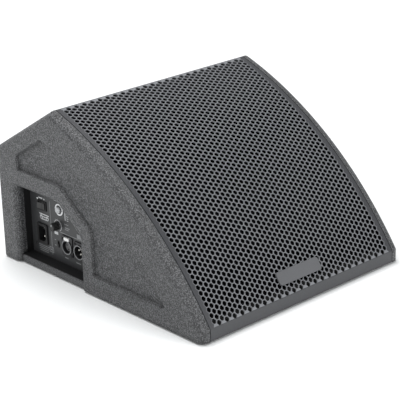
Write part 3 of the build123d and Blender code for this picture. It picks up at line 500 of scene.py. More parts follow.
def evaluated_mesh(holder: bpy.types.Object, name: str) -> bpy.types.Mesh:
    """Turn an object with modifiers into a plain mesh and drop the object.

    Args:
        holder: the object, linked to the scene.
        name: name of the new mesh.

    Returns:
        The plain mesh.
    """
    graph = bpy.context.evaluated_depsgraph_get()
    mesh = bpy.data.meshes.new_from_object(holder.evaluated_get(graph), depsgraph=graph)
    mesh.name = name
    holder.modifiers.clear()
    old = holder.data
    bpy.data.objects.remove(holder)
    if old.users == 0:
        bpy.data.meshes.remove(old)
    return mesh


def add_object(data: bpy.types.ID, name: str) -> bpy.types.Object:
    """Put a mesh, lamp or camera into the scene as an object."""
    added = bpy.data.objects.new(name, data)
    bpy.context.scene.collection.objects.link(added)
    return added


def set_inputs(modifier: bpy.types.Modifier, values: dict) -> None:
    """Give a geometry modifier its input values, by the socket's name."""
    for item in modifier.node_group.interface.items_tree:
        if item.in_out == "INPUT" and item.name in values:
            modifier[item.identifier] = values[item.name]


def run_tree(tree: bpy.types.NodeTree, name: str, values: dict) -> bpy.types.Mesh:
    """Run a geometry tree once and return its result.

    Args:
        tree: the geometry node group.
        name: name of the new mesh.
        values: input values by the socket's name.

    Returns:
        The plain mesh.
    """
    holder = add_object(bpy.data.meshes.new(name), name)
    modifier = holder.modifiers.new("tree", "NODES")
    modifier.node_group = tree
    set_inputs(modifier, values)
    return evaluated_mesh(holder, name)


def mesh_from(
    work: bmesh.types.BMesh, name: str, material: bpy.types.Material, smooth: bool
) -> bpy.types.Mesh:
    """Close a bmesh into a mesh with one material.

    Args:
        work: the bmesh, freed here.
        name: name of the mesh.
        material: the material of all its faces.
        smooth: whether its faces shade smoothly below 35 degrees.

    Returns:
        The new mesh.
    """
    bmesh.ops.remove_doubles(work, verts=work.verts, dist=WELD)
    bmesh.ops.recalc_face_normals(work, faces=work.faces)
    mesh = bpy.data.meshes.new(name)
    work.to_mesh(mesh)
    work.free()
    mesh.materials.append(material)
    if smooth:
        mesh.shade_smooth()
        mesh.set_sharp_from_angle(angle=SMOOTH_BELOW)
    return mesh


def lathe(
    work: bmesh.types.BMesh,
    profile: list[tuple[float, float, float]],
    place: Matrix,
    segments: int,
    lobes: int,
) -> None:
    """Turn a closed shape about the Z axis of a place.

    Args:
        work: the bmesh that takes the faces.
        profile: radius, height and depth of lobes at each ring, from axis to axis.
        place: matrix from the shape's own axes.
        segments: points round each ring.
        lobes: number of lobes round the axis.
    """
    rings = []
    for radius, height, waves in profile:
        ring = []
        for step in range(segments):
            turn = 2 * math.pi * step / segments
            reach = radius * (1 + waves * math.cos(lobes * turn))
            at = Vector((reach * math.cos(turn), reach * math.sin(turn), height))
            ring.append(work.verts.new(place @ at))
        rings.append(ring)
    for low, high in zip(rings, rings[1:]):
        for step in range(segments):
            after = (step + 1) % segments
            work.faces.new((low[step], low[after], high[after], high[step]))
    work.faces.new(reversed(rings[0]))
    work.faces.new(rings[-1])


def facing(origin: Vector, axis: Vector) -> Matrix:
    """Matrix of a place whose Z axis points along an axis."""
    turn = axis.to_track_quat("Z", "Y").to_matrix().to_4x4()
    return Matrix.Translation(origin) @ turn


def islands(node: str) -> list[list[Vector]]:
    """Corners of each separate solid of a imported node.

    Args:
        node: name of the node.

    Returns:
        One list of points for each solid.
    """
    work = bmesh.new()
    work.from_mesh(frame["nodes"][node].data)
    bmesh.ops.remove_doubles(work, verts=work.verts, dist=WELD)
    found, seen = [], set()
    for seed in work.verts:
        if seed in seen:
            continue
        seen.add(seed)
        group, waiting = [], [seed]
        while waiting:
            vert = waiting.pop()
            group.append(vert.co.copy())
            for link in vert.link_edges:
                other = link.other_vert(vert)
                if other not in seen:
                    seen.add(other)
                    waiting.append(other)
        found.append(group)
    work.free()
    return found


# ---------------------------------------------------------------- grille
@dataclass
class Grille:
    """Curved steel sheet with a honeycomb of holes, and its foam."""

    wardrobe: Wardrobe
    pitch: float = 8.529 * MM
    hole_share: float = 0.855
    hole_round: float = 0.6 * MM
    radius: float = 633.5 * MM
    sheet: float = 1.5 * MM
    bend_radius: float = 2.4 * MM
    solid_low: float = 1.1 * MM
    solid_high: float = 1.4 * MM
    first_row: float = 0.54
    columns: int = 53
    rows: int = 50
    open_columns: int = 24
    nose_rise: float = 18.5 * MM
    apex_back: float = 321.0 * MM
    rear_rise: float = 180.5 * MM
    fold: float = 20.0 * MM
    foam_margin: float = 12.0 * MM
    foam_gap: float = 0.4 * MM
    foam_thickness: float = 3.0 * MM
    foam_swell: float = 0.3 * MM

    def __post_init__(self) -> None:
        """Read the sheet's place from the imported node."""
        low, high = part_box("grille")
        side_low, side_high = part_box("left_side_panel")
        self.half = high.x
        self.foot = Vector((0.0, low.y, low.z))
        self.nose = Vector((0.0, low.y, side_low.z + self.nose_rise))
        self.apex = Vector((0.0, low.y + self.apex_back, side_high.z))
        self.rear = Vector((0.0, side_high.y, side_low.z + self.rear_rise))
        across = self.apex - self.nose
        tilt = math.atan2(across.z, across.y)
        sweep = math.asin(across.length / 2 / self.radius)
        self.nose_slope = tilt + sweep
        self.apex_slope = tilt - sweep
        self.middle = self.nose + self.radius * Vector(
            (0.0, math.sin(self.nose_slope), -math.cos(self.nose_slope))
        )
        self.length = 2 * sweep * self.radius

    def front(self, along: float, inset: float = 0.0) -> Vector:
        """Point of the curved front at a distance above the bend, and below the surface."""
        slope = self.nose_slope - along / self.radius
        reach = self.radius - inset
        return self.middle + reach * Vector((0.0, -math.sin(slope), math.cos(slope)))

    def honeycomb_tree(self) -> bpy.types.NodeTree:
        """Geometry tree of the perforated part, from flat cells bent onto the front's arc."""
        names = {
            name: FLOAT
            for name in (
                "Pitch", "Hole Share", "Corner", "Half Width", "Low", "High", "First Row",
                "Open Half Width", "Open Low", "Open High", "Radius", "Nose Slope", "Centre Y", "Centre Z",
            )
        }
        inputs = {**names, "Columns": "NodeSocketInt", "Rows": "NodeSocketInt", "Material": MATERIAL}
        graph, get, leave = new_group("GeometryNodeTree", "honeycomb_sheet", inputs, {"Geometry": GEOMETRY})
        math_node = graph.math
        step_x = math_node("MULTIPLY", get["Pitch"], math.sqrt(3) / 2)
        lattice = graph.add(
            "GeometryNodeMeshGrid",
            {
                "Size X": math_node("MULTIPLY", step_x, math_node("SUBTRACT", get["Columns"], 1.0)),
                "Size Y": math_node("MULTIPLY", get["Pitch"], math_node("SUBTRACT", get["Rows"], 1.0)),
                "Vertices X": get["Columns"],
                "Vertices Y": get["Rows"],
            },
        )
        where = graph.position()
        column = math_node("ROUND", math_node("DIVIDE", where["X"], step_x))
        even = math_node("SUBTRACT", 1.0, math_node("ABSOLUTE", math_node("MODULO", column, 2.0)))
        half_rows = math_node("MULTIPLY", math_node("SUBTRACT", get["Rows"], 1.0), 0.5)
        row = math_node("ADD", math_node("DIVIDE", where["Y"], get["Pitch"]), half_rows)
        shifted = math_node("ADD", row, math_node("MULTIPLY", even, 0.5))
        lifted = math_node("ADD", shifted, math_node("SUBTRACT", get["First Row"], 1.0))
        shift = math_node("MULTIPLY", lifted, get["Pitch"])
        placed = graph.move(lattice.outputs["Mesh"], X=where["X"], Y=shift)
        spot = graph.position()
        inside_x = math_node("LESS_THAN", math_node("ABSOLUTE", spot["X"]), get["Open Half Width"])
        above = math_node("GREATER_THAN", spot["Y"], get["Open Low"])
        below = math_node("LESS_THAN", spot["Y"], get["Open High"])
        is_open = math_node("MULTIPLY", inside_x, math_node("MULTIPLY", above, below))
        outer_radius = math_node("DIVIDE", get["Pitch"], math.sqrt(3))
        outline = graph.add(
            "GeometryNodeCurvePrimitiveCircle", {"Resolution": 6, "Radius": outer_radius}
        )
        hole = graph.add(
            "GeometryNodeCurvePrimitiveCircle",
            {"Resolution": 6, "Radius": math_node("MULTIPLY", outer_radius, get["Hole Share"])},
        )
        rounded = graph.add(
            "GeometryNodeFilletCurve",
            {"Curve": hole.outputs["Curve"], "Count": 1, "Radius": get["Corner"]},
            mode="POLY",
        )
        both = graph.add("GeometryNodeJoinGeometry")
        for curve in (outline.outputs["Curve"], rounded.outputs[0]):
            graph.tree.links.new(curve, both.inputs[0])
        ring = graph.add("GeometryNodeFillCurve", {"Curve": both.outputs[0]}, mode="TRIANGLES")
        plain = graph.add("GeometryNodeFillCurve", {"Curve": outline.outputs["Curve"]}, mode="NGONS")
        shut = math_node("LESS_THAN", is_open, 0.5)
        cells = graph.add("GeometryNodeJoinGeometry")
        for shape, chosen in ((ring, is_open), (plain, shut)):
            put = graph.add(
                "GeometryNodeInstanceOnPoints",
                {"Points": placed, "Selection": chosen, "Instance": shape.outputs[0]},
            )
            graph.tree.links.new(put.outputs[0], cells.inputs[0])
        real = graph.add("GeometryNodeRealizeInstances", {0: cells.outputs[0]})
        flat = graph.position()
        minus = math_node("MULTIPLY", get["Half Width"], -1.0)
        held_x = graph.add(
            "ShaderNodeClamp", {"Value": flat["X"], "Min": minus, "Max": get["Half Width"]}
        )
        held_y = graph.add(
            "ShaderNodeClamp", {"Value": flat["Y"], "Min": get["Low"], "Max": get["High"]}
        )
        trimmed = graph.move(real.outputs[0], X=held_x.outputs[0], Y=held_y.outputs[0])
        empty = math_node("LESS_THAN", graph.add("GeometryNodeInputMeshFaceArea").outputs[0], 1e-9)
        cleared = graph.add(
            "GeometryNodeDeleteGeometry",
            {"Geometry": trimmed, "Selection": empty},
            domain="FACE",
        )
        merged = graph.add("GeometryNodeMergeByDistance", {"Geometry": cleared.outputs[0], "Distance": 5e-6})
        low = graph.position()
        slope = math_node(
            "SUBTRACT", get["Nose Slope"], math_node("DIVIDE", low["Y"], get["Radius"])
        )
        back = math_node("MULTIPLY", get["Radius"], math_node("SINE", slope))
        up = math_node("MULTIPLY", get["Radius"], math_node("COSINE", slope))
        bent = graph.move(
            merged.outputs[0],
            X=low["X"],
            Y=math_node("SUBTRACT", get["Centre Y"], back),
            Z=math_node("ADD", get["Centre Z"], up),
        )
        coated = graph.add(
            "GeometryNodeSetMaterial", {"Geometry": bent, "Material": get["Material"]}
        )
        graph.tree.links.new(coated.outputs[0], leave.inputs["Geometry"])
        return graph.tree

    def rounded_corner(self, before: Vector, corner: Vector, after: Vector, steps: int) -> list[Vector]:
        """Points of a bend between two straight runs.

        Args:
            before: a point on the run that comes in.
            corner: where the runs would meet.
            after: a point on the run that goes out.
            steps: number of spans round the bend.

        Returns:
            The bend's points, from the first run to the second.
        """
        come = (before - corner).normalized()
        leave = (after - corner).normalized()
        opening = come.angle(leave)
        reach = self.bend_radius / math.tan(opening / 2)
        hub = corner + (come + leave).normalized() * self.bend_radius / math.sin(opening / 2)
        start = corner + come * reach - hub
        end = corner + leave * reach - hub
        sweep = start.angle(end)
        points = []
        for step in range(steps + 1):
            share = step / steps
            mixed = start * math.sin((1 - share) * sweep) + end * math.sin(share * sweep)
            points.append(hub + mixed / math.sin(sweep))
        return points

    def strip(self, work: bmesh.types.BMesh, points: list[Vector]) -> None:
        """Unperforated strip along X, with its columns at the corners of the cells beside it.

        Args:
            work: the bmesh that takes the faces.
            points: the strip's section, in the plane X = 0.
        """
        unit = self.pitch / math.sqrt(3) / 2
        count = math.ceil(self.half / unit)
        columns = [m * unit for m in range(-count, count + 1) if m % 3 and abs(m * unit) < self.half]
        columns = [-self.half, *columns, self.half]
        rows = [[work.verts.new((x, point.y, point.z)) for x in columns] for point in points]
        for low, high in zip(rows, rows[1:]):
            for step in range(len(columns) - 1):
                face = work.faces.new((low[step], low[step + 1], high[step + 1], high[step]))
                face.material_index = 1

    def build_sheet(self) -> None:
        """Perforated sheet with its kick strip and the flange on the rear slope."""
        steel = self.wardrobe.by_slot["grille_steel"]
        column_step = self.pitch * math.sqrt(3) / 2
        honeycomb = run_tree(
            self.honeycomb_tree(),
            "honeycomb",
            {
                "Pitch": self.pitch,
                "Hole Share": self.hole_share,
                "Corner": self.hole_round,
                "Half Width": self.half,
                "Low": self.solid_low,
                "High": self.length - self.solid_high,
                "First Row": self.first_row,
                "Open Half Width": (self.open_columns + 0.5) * column_step,
                "Open Low": 0.5 * self.pitch,
                "Open High": (self.rows - 2.4) * self.pitch,
                "Radius": self.radius,
                "Nose Slope": self.nose_slope,
                "Centre Y": self.middle.y,
                "Centre Z": self.middle.z,
                "Columns": self.columns,
                "Rows": self.rows,
                "Material": self.wardrobe.grille_web_glint,
            },
        )
        work = bmesh.new()
        work.from_mesh(honeycomb)
        bpy.data.meshes.remove(honeycomb)
        # faces inside the open area take material 0, the lighter steel with its painted highlight; the
        # margins take the plain steel
        last_hole = (self.open_columns + 0.6) * column_step
        for face in work.faces:
            face.material_index = int(abs(face.calc_center_median().x) > last_hole)
        start = self.front(self.solid_low)
        bend = self.rounded_corner(start, self.nose, self.foot, 5)
        self.strip(work, [self.foot, *reversed(bend), start])
        end = self.front(self.length - self.solid_high)
        down = (self.rear - self.apex).normalized()
        edge = self.apex + down * self.fold
        bend = self.rounded_corner(end, self.apex, edge, 6)
        self.strip(work, [end, *bend, edge])
        bmesh.ops.remove_doubles(work, verts=work.verts, dist=2e-5)
        bmesh.ops.recalc_face_normals(work, faces=work.faces)
        outward = sum(1 if face.normal.z - face.normal.y > 0 else -1 for face in work.faces)
        if outward < 0:
            bmesh.ops.reverse_faces(work, faces=work.faces)
        mesh = bpy.data.meshes.new("grille_skin")
        work.to_mesh(mesh)
        work.free()
        mesh.materials.append(self.wardrobe.grille_web_glint)
        mesh.materials.append(steel)
        holder = add_object(mesh, "grille_skin")
        thick = holder.modifiers.new("thickness", "SOLIDIFY")
        thick.thickness = self.sheet
        thick.offset = -1.0
        skin = evaluated_mesh(holder, "grille_perforated")
        skin.shade_smooth()
        skin.set_sharp_from_angle(angle=math.radians(30))
        keep(skin, "grille_perforated", "cabinet", "grille_steel", "grille")

    def build_foam(self) -> None:
        """Thin foam behind the holes, with an uneven face."""
        low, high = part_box("grille_foam")
        across, along, lumps = 70, 76, 90.0
        work = bmesh.new()
        layers = []
        outer_inset = self.sheet + self.foam_gap
        for inset in (outer_inset, outer_inset + self.foam_thickness):
            rows = []
            for row in range(along + 1):
                distance = self.foam_margin + (self.length - 2 * self.foam_margin) * row / along
                line = []
                for column in range(across + 1):
                    x = high.x * (2 * column / across - 1)
                    swell = noise.noise(Vector((x, distance, inset)) * lumps) * self.foam_swell
                    point = self.front(distance, inset - swell)
                    line.append(work.verts.new((x, point.y, point.z)))
                rows.append(line)
            layers.append(rows)
        for row in range(along):
            for column in range(across):
                for layer in layers:
                    work.faces.new(
                        (
                            layer[row][column],
                            layer[row][column + 1],
                            layer[row + 1][column + 1],
                            layer[row + 1][column],
                        )
                    )
        rim_outer, rim_inner = (
            [
                *layer[0],
                *[line[-1] for line in layer[1:]],
                *layer[-1][-2::-1],
                *[line[0] for line in layer[-2:0:-1]],
            ]
            for layer in layers
        )
        for step in range(len(rim_outer)):
            after = (step + 1) % len(rim_outer)
            work.faces.new((rim_outer[step], rim_outer[after], rim_inner[after], rim_inner[step]))
        mesh = mesh_from(work, "grille_foam_sheet", self.wardrobe.by_slot["black_foam"], True)
        foam = keep(mesh, "grille_foam_sheet", "cabinet", "black_foam", "grille_foam")

    def build(self) -> None:
        """Make the grille's pieces."""
        self.build_sheet()
        self.build_foam()


# ---------------------------------------------------------------- screws
class Drive(Enum):
    """Shape of a screw's recess, as its number of lobes."""

    STAR = 6
    CROSS = 4


@dataclass
class ScrewSet:
    """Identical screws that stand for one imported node."""

    wardrobe: Wardrobe
    node: str
    slot: str
    axis: Vector
    drive: Drive

    def template(self, head: float, rise: float, shank: float, depth: float) -> bpy.types.Object:
        """One screw along Z with the top of its head at the origin.

        Args:
            head: radius of the head.
            rise: height of the head.
            shank: radius of the shank.
            depth: length of the whole screw.

        Returns:
            A temporary object.
        """
        recess = head * 0.42
        waves = 0.14 if self.drive is Drive.STAR else 0.34
        profile = [
            (shank * 0.6, -depth, 0.0),
            (shank, -depth + shank * 0.5, 0.0),
            (shank, -rise, 0.0),
            (head * 0.97, -rise, 0.0),
            (head, -rise * 0.8, 0.0),
            (head * 0.94, -rise * 0.38, 0.0),
            (head * 0.78, -rise * 0.1, 0.0),
            (recess * 1.25, 0.0, 0.0),
            (recess, -rise * 0.04, waves),
            (recess * 0.9, -rise * 0.55, waves),
        ]
        work = bmesh.new()
        lathe(work, profile, Matrix.Identity(4), 24, self.drive.value)
        mesh = mesh_from(work, "screw_template", self.wardrobe.by_slot[self.slot], True)
        return add_object(mesh, "screw_template")

    @staticmethod
    def tree() -> bpy.types.NodeTree:
        """Geometry tree that sets one screw on each point of a mesh."""
        existing = bpy.data.node_groups.get("screws_on_points")
        if existing:
            return existing
        inputs = {"Geometry": GEOMETRY, "Screw": "NodeSocketObject", "Turn": VECTOR, "Material": MATERIAL}
        graph, get, leave = new_group("GeometryNodeTree", "screws_on_points", inputs, {"Geometry": GEOMETRY})
        one = graph.add("GeometryNodeObjectInfo", {"Object": get["Screw"]})
        turn = graph.add("FunctionNodeEulerToRotation", {0: get["Turn"]})
        spin = graph.add(
            "FunctionNodeRandomValue", {2: 0.0, 3: 2 * math.pi, "Seed": 7}, data_type="FLOAT"
        )
        about = graph.add("ShaderNodeCombineXYZ", {"Z": spin.outputs[1]})
        own = graph.add("FunctionNodeEulerToRotation", {0: about.outputs[0]})
        facing_way = graph.add(
            "FunctionNodeRotateRotation",
            {0: turn.outputs[0], 1: own.outputs[0]},
            rotation_space="LOCAL",
        )
        put = graph.add(
            "GeometryNodeInstanceOnPoints",
            {
                "Points": get["Geometry"],
                "Instance": one.outputs["Geometry"],
                "Rotation": facing_way.outputs[0],
            },
        )
        real = graph.add("GeometryNodeRealizeInstances", {0: put.outputs[0]})
        coated = graph.add(
            "GeometryNodeSetMaterial", {"Geometry": real.outputs[0], "Material": get["Material"]}
        )
        graph.tree.links.new(coated.outputs[0], leave.inputs["Geometry"])
        return graph.tree

    def build(self) -> None:
        """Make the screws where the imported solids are."""
        axis = self.axis.normalized()
        tops, head, rise, shank, depth = [], 0.0, 0.0, 0.0, 0.0
        for points in islands(self.node):
            reach = [point.dot(axis) for point in points]
            top, bottom = max(reach), min(reach)
            crown = [p for p, r in zip(points, reach) if r > top - 1e-5]
            tail = [p for p, r in zip(points, reach) if r < bottom + 1e-5]
            middle = sum(crown, Vector()) / len(crown)
            head = max((p - middle).length for p in crown)
            under = [r for p, r in zip(points, reach) if self.off_axis(p - middle, axis) > head * 0.98]
            rise = top - min(under)
            shank = max(self.off_axis(p - middle, axis) for p in tail)
            depth = top - bottom
            tops.append(middle)
        one = self.template(head, rise, shank, depth)
        points_mesh = bpy.data.meshes.new(self.node)
        points_mesh.from_pydata(tops, [], [])
        holder = add_object(points_mesh, self.node + "_points")
        modifier = holder.modifiers.new("screws", "NODES")
        modifier.node_group = self.tree()
        turn = tuple(facing(Vector(), axis).to_euler())
        material = self.wardrobe.by_slot[self.slot]
        set_inputs(modifier, {"Screw": one, "Turn": turn, "Material": material})
        mesh = evaluated_mesh(holder, self.node + "_set")
        bpy.data.objects.remove(one)
        mesh.shade_smooth()
        mesh.set_sharp_from_angle(angle=SMOOTH_BELOW)
        keep(mesh, self.node + "_set", "cabinet", self.slot, self.node)

    @staticmethod
    def off_axis(arm: Vector, axis: Vector) -> float:
        """Distance of a point from an axis through the origin."""
        return (arm - axis * arm.dot(axis)).length


# ---------------------------------------------------------------- connector bay
@dataclass
class ConnectorBay:
    """Black floor sheet that paints the shade on the bay's floor, print and knobs of the connector bay."""

    wardrobe: Wardrobe
    film: float = 0.12 * MM
    volume_at: tuple[float, float] = (66.4, 70.9)
    input_at: tuple[float, float] = (88.8, 42.1)
    link_at: tuple[float, float] = (118.1, 42.1)
    preset_at: tuple[float, float] = (72.4, 98.4)
    barrel_rise: float = 3.2
    tick_reach: float = 10.6
    knob_gap: float = 1.9 * MM
    knob_bore: float = 2.9 * MM

    def __post_init__(self) -> None:
        """Read the plate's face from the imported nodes."""
        low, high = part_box("connector_plate")
        self.face = low.x
        ring_low, ring_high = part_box("preset_ring")
        ring = (ring_low + ring_high) / 2
        self.rear = ring.y + self.preset_at[0] * MM
        self.ground = ring.z - self.preset_at[1] * MM

    def spot(self, along: float, up: float, out: float = 0.0) -> Vector:
        """Point at millimetres from the bay's rear wall, above the cabinet's edge and out of the plate."""
        return Vector((self.face - out * MM, self.rear - along * MM, self.ground + up * MM))

    def bar(self, work: bmesh.types.BMesh, along: float, up: float, size: tuple[float, float]) -> None:
        """Printed bar.

        Args:
            work: the bmesh that takes the faces.
            along: millimetres from the bay's rear wall to the bar's middle.
            up: millimetres above the cabinet's edge.
            size: length and height in millimetres.
        """
        scale = Matrix.Diagonal((self.film, size[0] * MM, size[1] * MM, 1.0))
        middle = self.spot(along, up) - Vector((self.film / 2, 0.0, 0.0))
        bmesh.ops.create_cube(work, size=1.0, matrix=Matrix.Translation(middle) @ scale)

    def bars(self, work: bmesh.types.BMesh, rows: tuple) -> None:
        """Printed bars, each one given by along, up, length and height in millimetres."""
        for along, up, length, height in rows:
            self.bar(work, along, up, (length, height))

    def arc(
        self, work: bmesh.types.BMesh, centre: tuple[float, float], radii: tuple[float, float],
        sweep: tuple[float, float], segments: int, rise: float = 0.0,
    ) -> None:
        """Printed ring or part of a ring.

        Args:
            work: the bmesh that takes the faces.
            centre: its centre on the plate, in millimetres.
            radii: inner and outer radius in millimetres.
            sweep: first and last angle in degrees.
            segments: number of spans.
            rise: millimetres from the plate's face to the ring's underside.
        """
        corners = []
        for step in range(segments + 1):
            turn = math.radians(sweep[0] + (sweep[1] - sweep[0]) * step / segments)
            way = (math.cos(turn), math.sin(turn))
            ends = [(centre[0] + reach * way[0], centre[1] + reach * way[1]) for reach in radii]
            outs = (rise, rise + self.film / MM)
            corners.append([work.verts.new(self.spot(*end, out)) for end in ends for out in outs])
        order = ((0, 1), (1, 3), (3, 2), (2, 0))
        for one, two in zip(corners, corners[1:]):
            for first, second in order:
                work.faces.new((one[first], one[second], two[second], two[first]))
        if abs(sweep[1] - sweep[0]) < 360:
            for end in (corners[0], corners[-1]):
                work.faces.new((end[0], end[1], end[3], end[2]))

    def build_print(self) -> None:
        """White and dim print: bars, rings and ticks without any lettering."""
        white = bmesh.new()
        self.bars(white, ((26.0, 105.5, 9.5, 1.7), (35.0, 105.0, 3.0, 1.7), (65.2, 112.0, 9.5, 3.0)))
        for row in range(3):
            self.bar(white, 33.0, 79.5 - 4.0 * row, (24.0 - 3.0 * row, 1.5))
        for side in (-1, 1):
            self.arc(white, (33.0 + 7.5 * side, 74.5), (2.2, 3.4), (0, 360), 18)
        self.bar(white, 61.5, 57.5, (9.0, 4.6))
        self.arc(white, self.volume_at, (8.4, 9.3), (-60, 240), 24)
        self.bar(white, 86.0, 92.0, (1.6, 15.0))
        for row in range(5):
            self.bar(white, 91.5, 98.0 - 3.2 * row, (6.5 - 0.6 * row, 0.9))
        mesh = mesh_from(white, "plate_print_white", self.wardrobe.print_white, False)
        keep(mesh, "plate_print_white", "cabinet", "ring_white")
        dim = bmesh.new()
        self.bars(
            dim,
            (
                (97.0, 61.7, 54.0, 1.0), (48.9, 62.0, 0.9, 88.0), (88.0, 78.0, 10.0, 1.0),
                (90.0, 72.5, 11.0, 1.2), (88.5, 69.5, 9.0, 1.0), (118.5, 66.5, 12.0, 7.0),
            ),
        )
        for row in range(4):
            self.bar(dim, 28.0, 26.5 - 3.0 * row, (27.0 - 2.0 * row, 0.9))
        self.frame_mark(dim, (47.0, 25.6), (10.0, 9.0))
        for socket in (self.input_at, self.link_at):
            self.arc(dim, socket, (10.3, 11.5), (0, 360), 32, self.barrel_rise)
        self.bars(
            dim,
            (
                (84.0, 22.5, 8.0, 1.3), (113.0, 22.0, 11.0, 1.3),
                (58.0, 45.5, 3.6, 1.3), (58.0, 36.5, 3.6, 1.3),
            ),
        )
        for tick in range(11):
            turn = math.radians(-60 + 30 * tick)
            along = self.volume_at[0] + self.tick_reach * math.cos(turn)
            up = self.volume_at[1] + self.tick_reach * math.sin(turn)
            self.bar(dim, along, up, (0.9, 0.9))
        mesh = mesh_from(dim, "plate_print_dim", self.wardrobe.print_dim, False)
        keep(mesh, "plate_print_dim", "cabinet", "ring_white")

    def frame_mark(self, work: bmesh.types.BMesh, at: tuple[float, float], size: tuple[float, float]) -> None:
        """Empty printed box with a bar in it."""
        line = 1.0
        for side in (-1, 1):
            self.bar(work, at[0], at[1] + side * (size[1] - line) / 2, (size[0], line))
            self.bar(work, at[0] + side * (size[0] - line) / 2, at[1], (line, size[1] - 2 * line))
        self.bar(work, at[0], at[1], (size[0] * 0.45, size[1] * 0.3))

    def build_knob(self, node: str, body: str, slot: str, ribs: int, waves: float) -> None:
        """Knob with ribs round its skirt and a pointer on its face.

        Args:
            node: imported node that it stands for.
            body: body that it rides on.
            slot: the record's material slot.
            ribs: number of ribs.
            waves: depth of the ribs as a share of the radius.
        """
        low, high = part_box(node)
        middle = (low + high) / 2
        radius = (high.z - low.z) / 2 * 0.985
        skirt = self.face - self.knob_gap
        height = skirt - low.x
        profile = [
            (self.knob_bore, skirt - high.x, 0.0),
            (self.knob_bore, 0.0, 0.0),
            (radius * 0.97, 0.0, 0.0),
            (radius, 0.5 * MM, waves),
            (radius * 0.95, height * 0.82, waves),
            (radius * 0.9, height * 0.95, waves * 0.4),
            (radius * 0.8, height * 0.985, 0.0),
            (radius * 0.66, height * 0.985, 0.0),
            (radius * 0.6, height * 0.955, 0.0),
        ]
        work = bmesh.new()
        place = facing(Vector((skirt, middle.y, middle.z)), Vector((-1.0, 0.0, 0.0)))
        lathe(work, profile, place, ribs * 4, ribs)
        mesh = mesh_from(work, node + "_ribbed", self.wardrobe.by_slot[slot], True)
        keep(mesh, node + "_ribbed", body, slot, node)
        mark = bmesh.new()
        size = Matrix.Diagonal((0.3 * MM, 1.0 * MM, radius * 0.55, 1.0))
        at = Vector((skirt - height * 0.975, middle.y, middle.z + radius * 0.52))
        bmesh.ops.create_cube(mark, size=1.0, matrix=Matrix.Translation(at) @ size)
        pointer = mesh_from(mark, node + "_pointer", self.wardrobe.print_white, False)
        keep(pointer, node + "_pointer", body, "ring_white")

    def build_floor_shade_sheet(self) -> None:
        """Black sheet on the floor of the bay, from its outer strip to the plate: painted shade, as the bay's
        floor lies in shade.
        """
        low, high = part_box("connector_plate")
        side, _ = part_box("left_side_panel")
        inset, strip, film, drop, gap = 8.0 * MM, 6.5 * MM, 0.22 * MM, 0.28 * MM, 0.1 * MM
        start = Vector((side.x + strip, low.y + inset, low.z - drop))
        end = Vector((self.face - gap, high.y - inset, start.z + film))
        work = bmesh.new()
        scale = Matrix.Diagonal((*(end - start), 1.0))
        bmesh.ops.create_cube(work, size=1.0, matrix=Matrix.Translation((start + end) / 2) @ scale)
        mesh = mesh_from(work, "bay_floor_film", self.wardrobe.by_slot["black_plastic"], False)
        keep(mesh, "bay_floor_film", "cabinet", "black_plastic")

    def build(self) -> None:
        """Make the floor sheet of painted shade, the print and the knobs."""
        self.build_floor_shade_sheet()
        self.build_print()
        self.build_knob("volume_knob", "volume_dial", "knob_black", 16, 0.025)
        self.build_knob("preset_knob", "preset_dial", "knob_grey", 18, 0.02)


# ---------------------------------------------------------------- wadding
@dataclass
class Wadding:
    """Loose fibre pad in the cabinet."""

    wardrobe: Wardrobe
    cuts: int = 14
    bulge: float = 0.35
    lump_size: float = 3.1
    lump_depth: float = 0.06
    slack: float = 0.98

    def build(self) -> None:
        """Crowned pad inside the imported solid's box."""
        low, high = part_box("damping_wadding")
        middle, half = (low + high) / 2, (high - low) / 2
        work = bmesh.new()
        bmesh.ops.create_cube(work, size=2.0)
        bmesh.ops.subdivide_edges(work, edges=work.edges, cuts=self.cuts, use_grid_fill=True)
        for vert in work.verts:
            share = vert.co.copy()
            crown = 1 - self.bulge * (share.x**4 + share.z**4) / 2
            lump = noise.noise(share * self.lump_size) * self.lump_depth
            vert.co = middle + Vector(
                (
                    half.x * share.x * self.slack,
                    half.y * share.y * (crown - self.lump_depth + lump),
                    half.z * share.z * self.slack,
                )
            )
        mesh = mesh_from(work, "wadding_pad", self.wardrobe.by_slot["wadding"], True)
        pad = keep(mesh, "wadding_pad", "cabinet", "wadding", "damping_wadding")


# ---------------------------------------------------------------- studio
LAMPS = (
    ("overhead", (-0.1, 0.7, 2.9), 2.6, 100.0),
    ("left_front", (-2.2, -1.2, 1.5), 1.6, 22.0),
    ("right_front", (0.7, -2.8, 1.2), 1.4, 32.0),
)
AIM = (0.0, 0.0, 0.12)


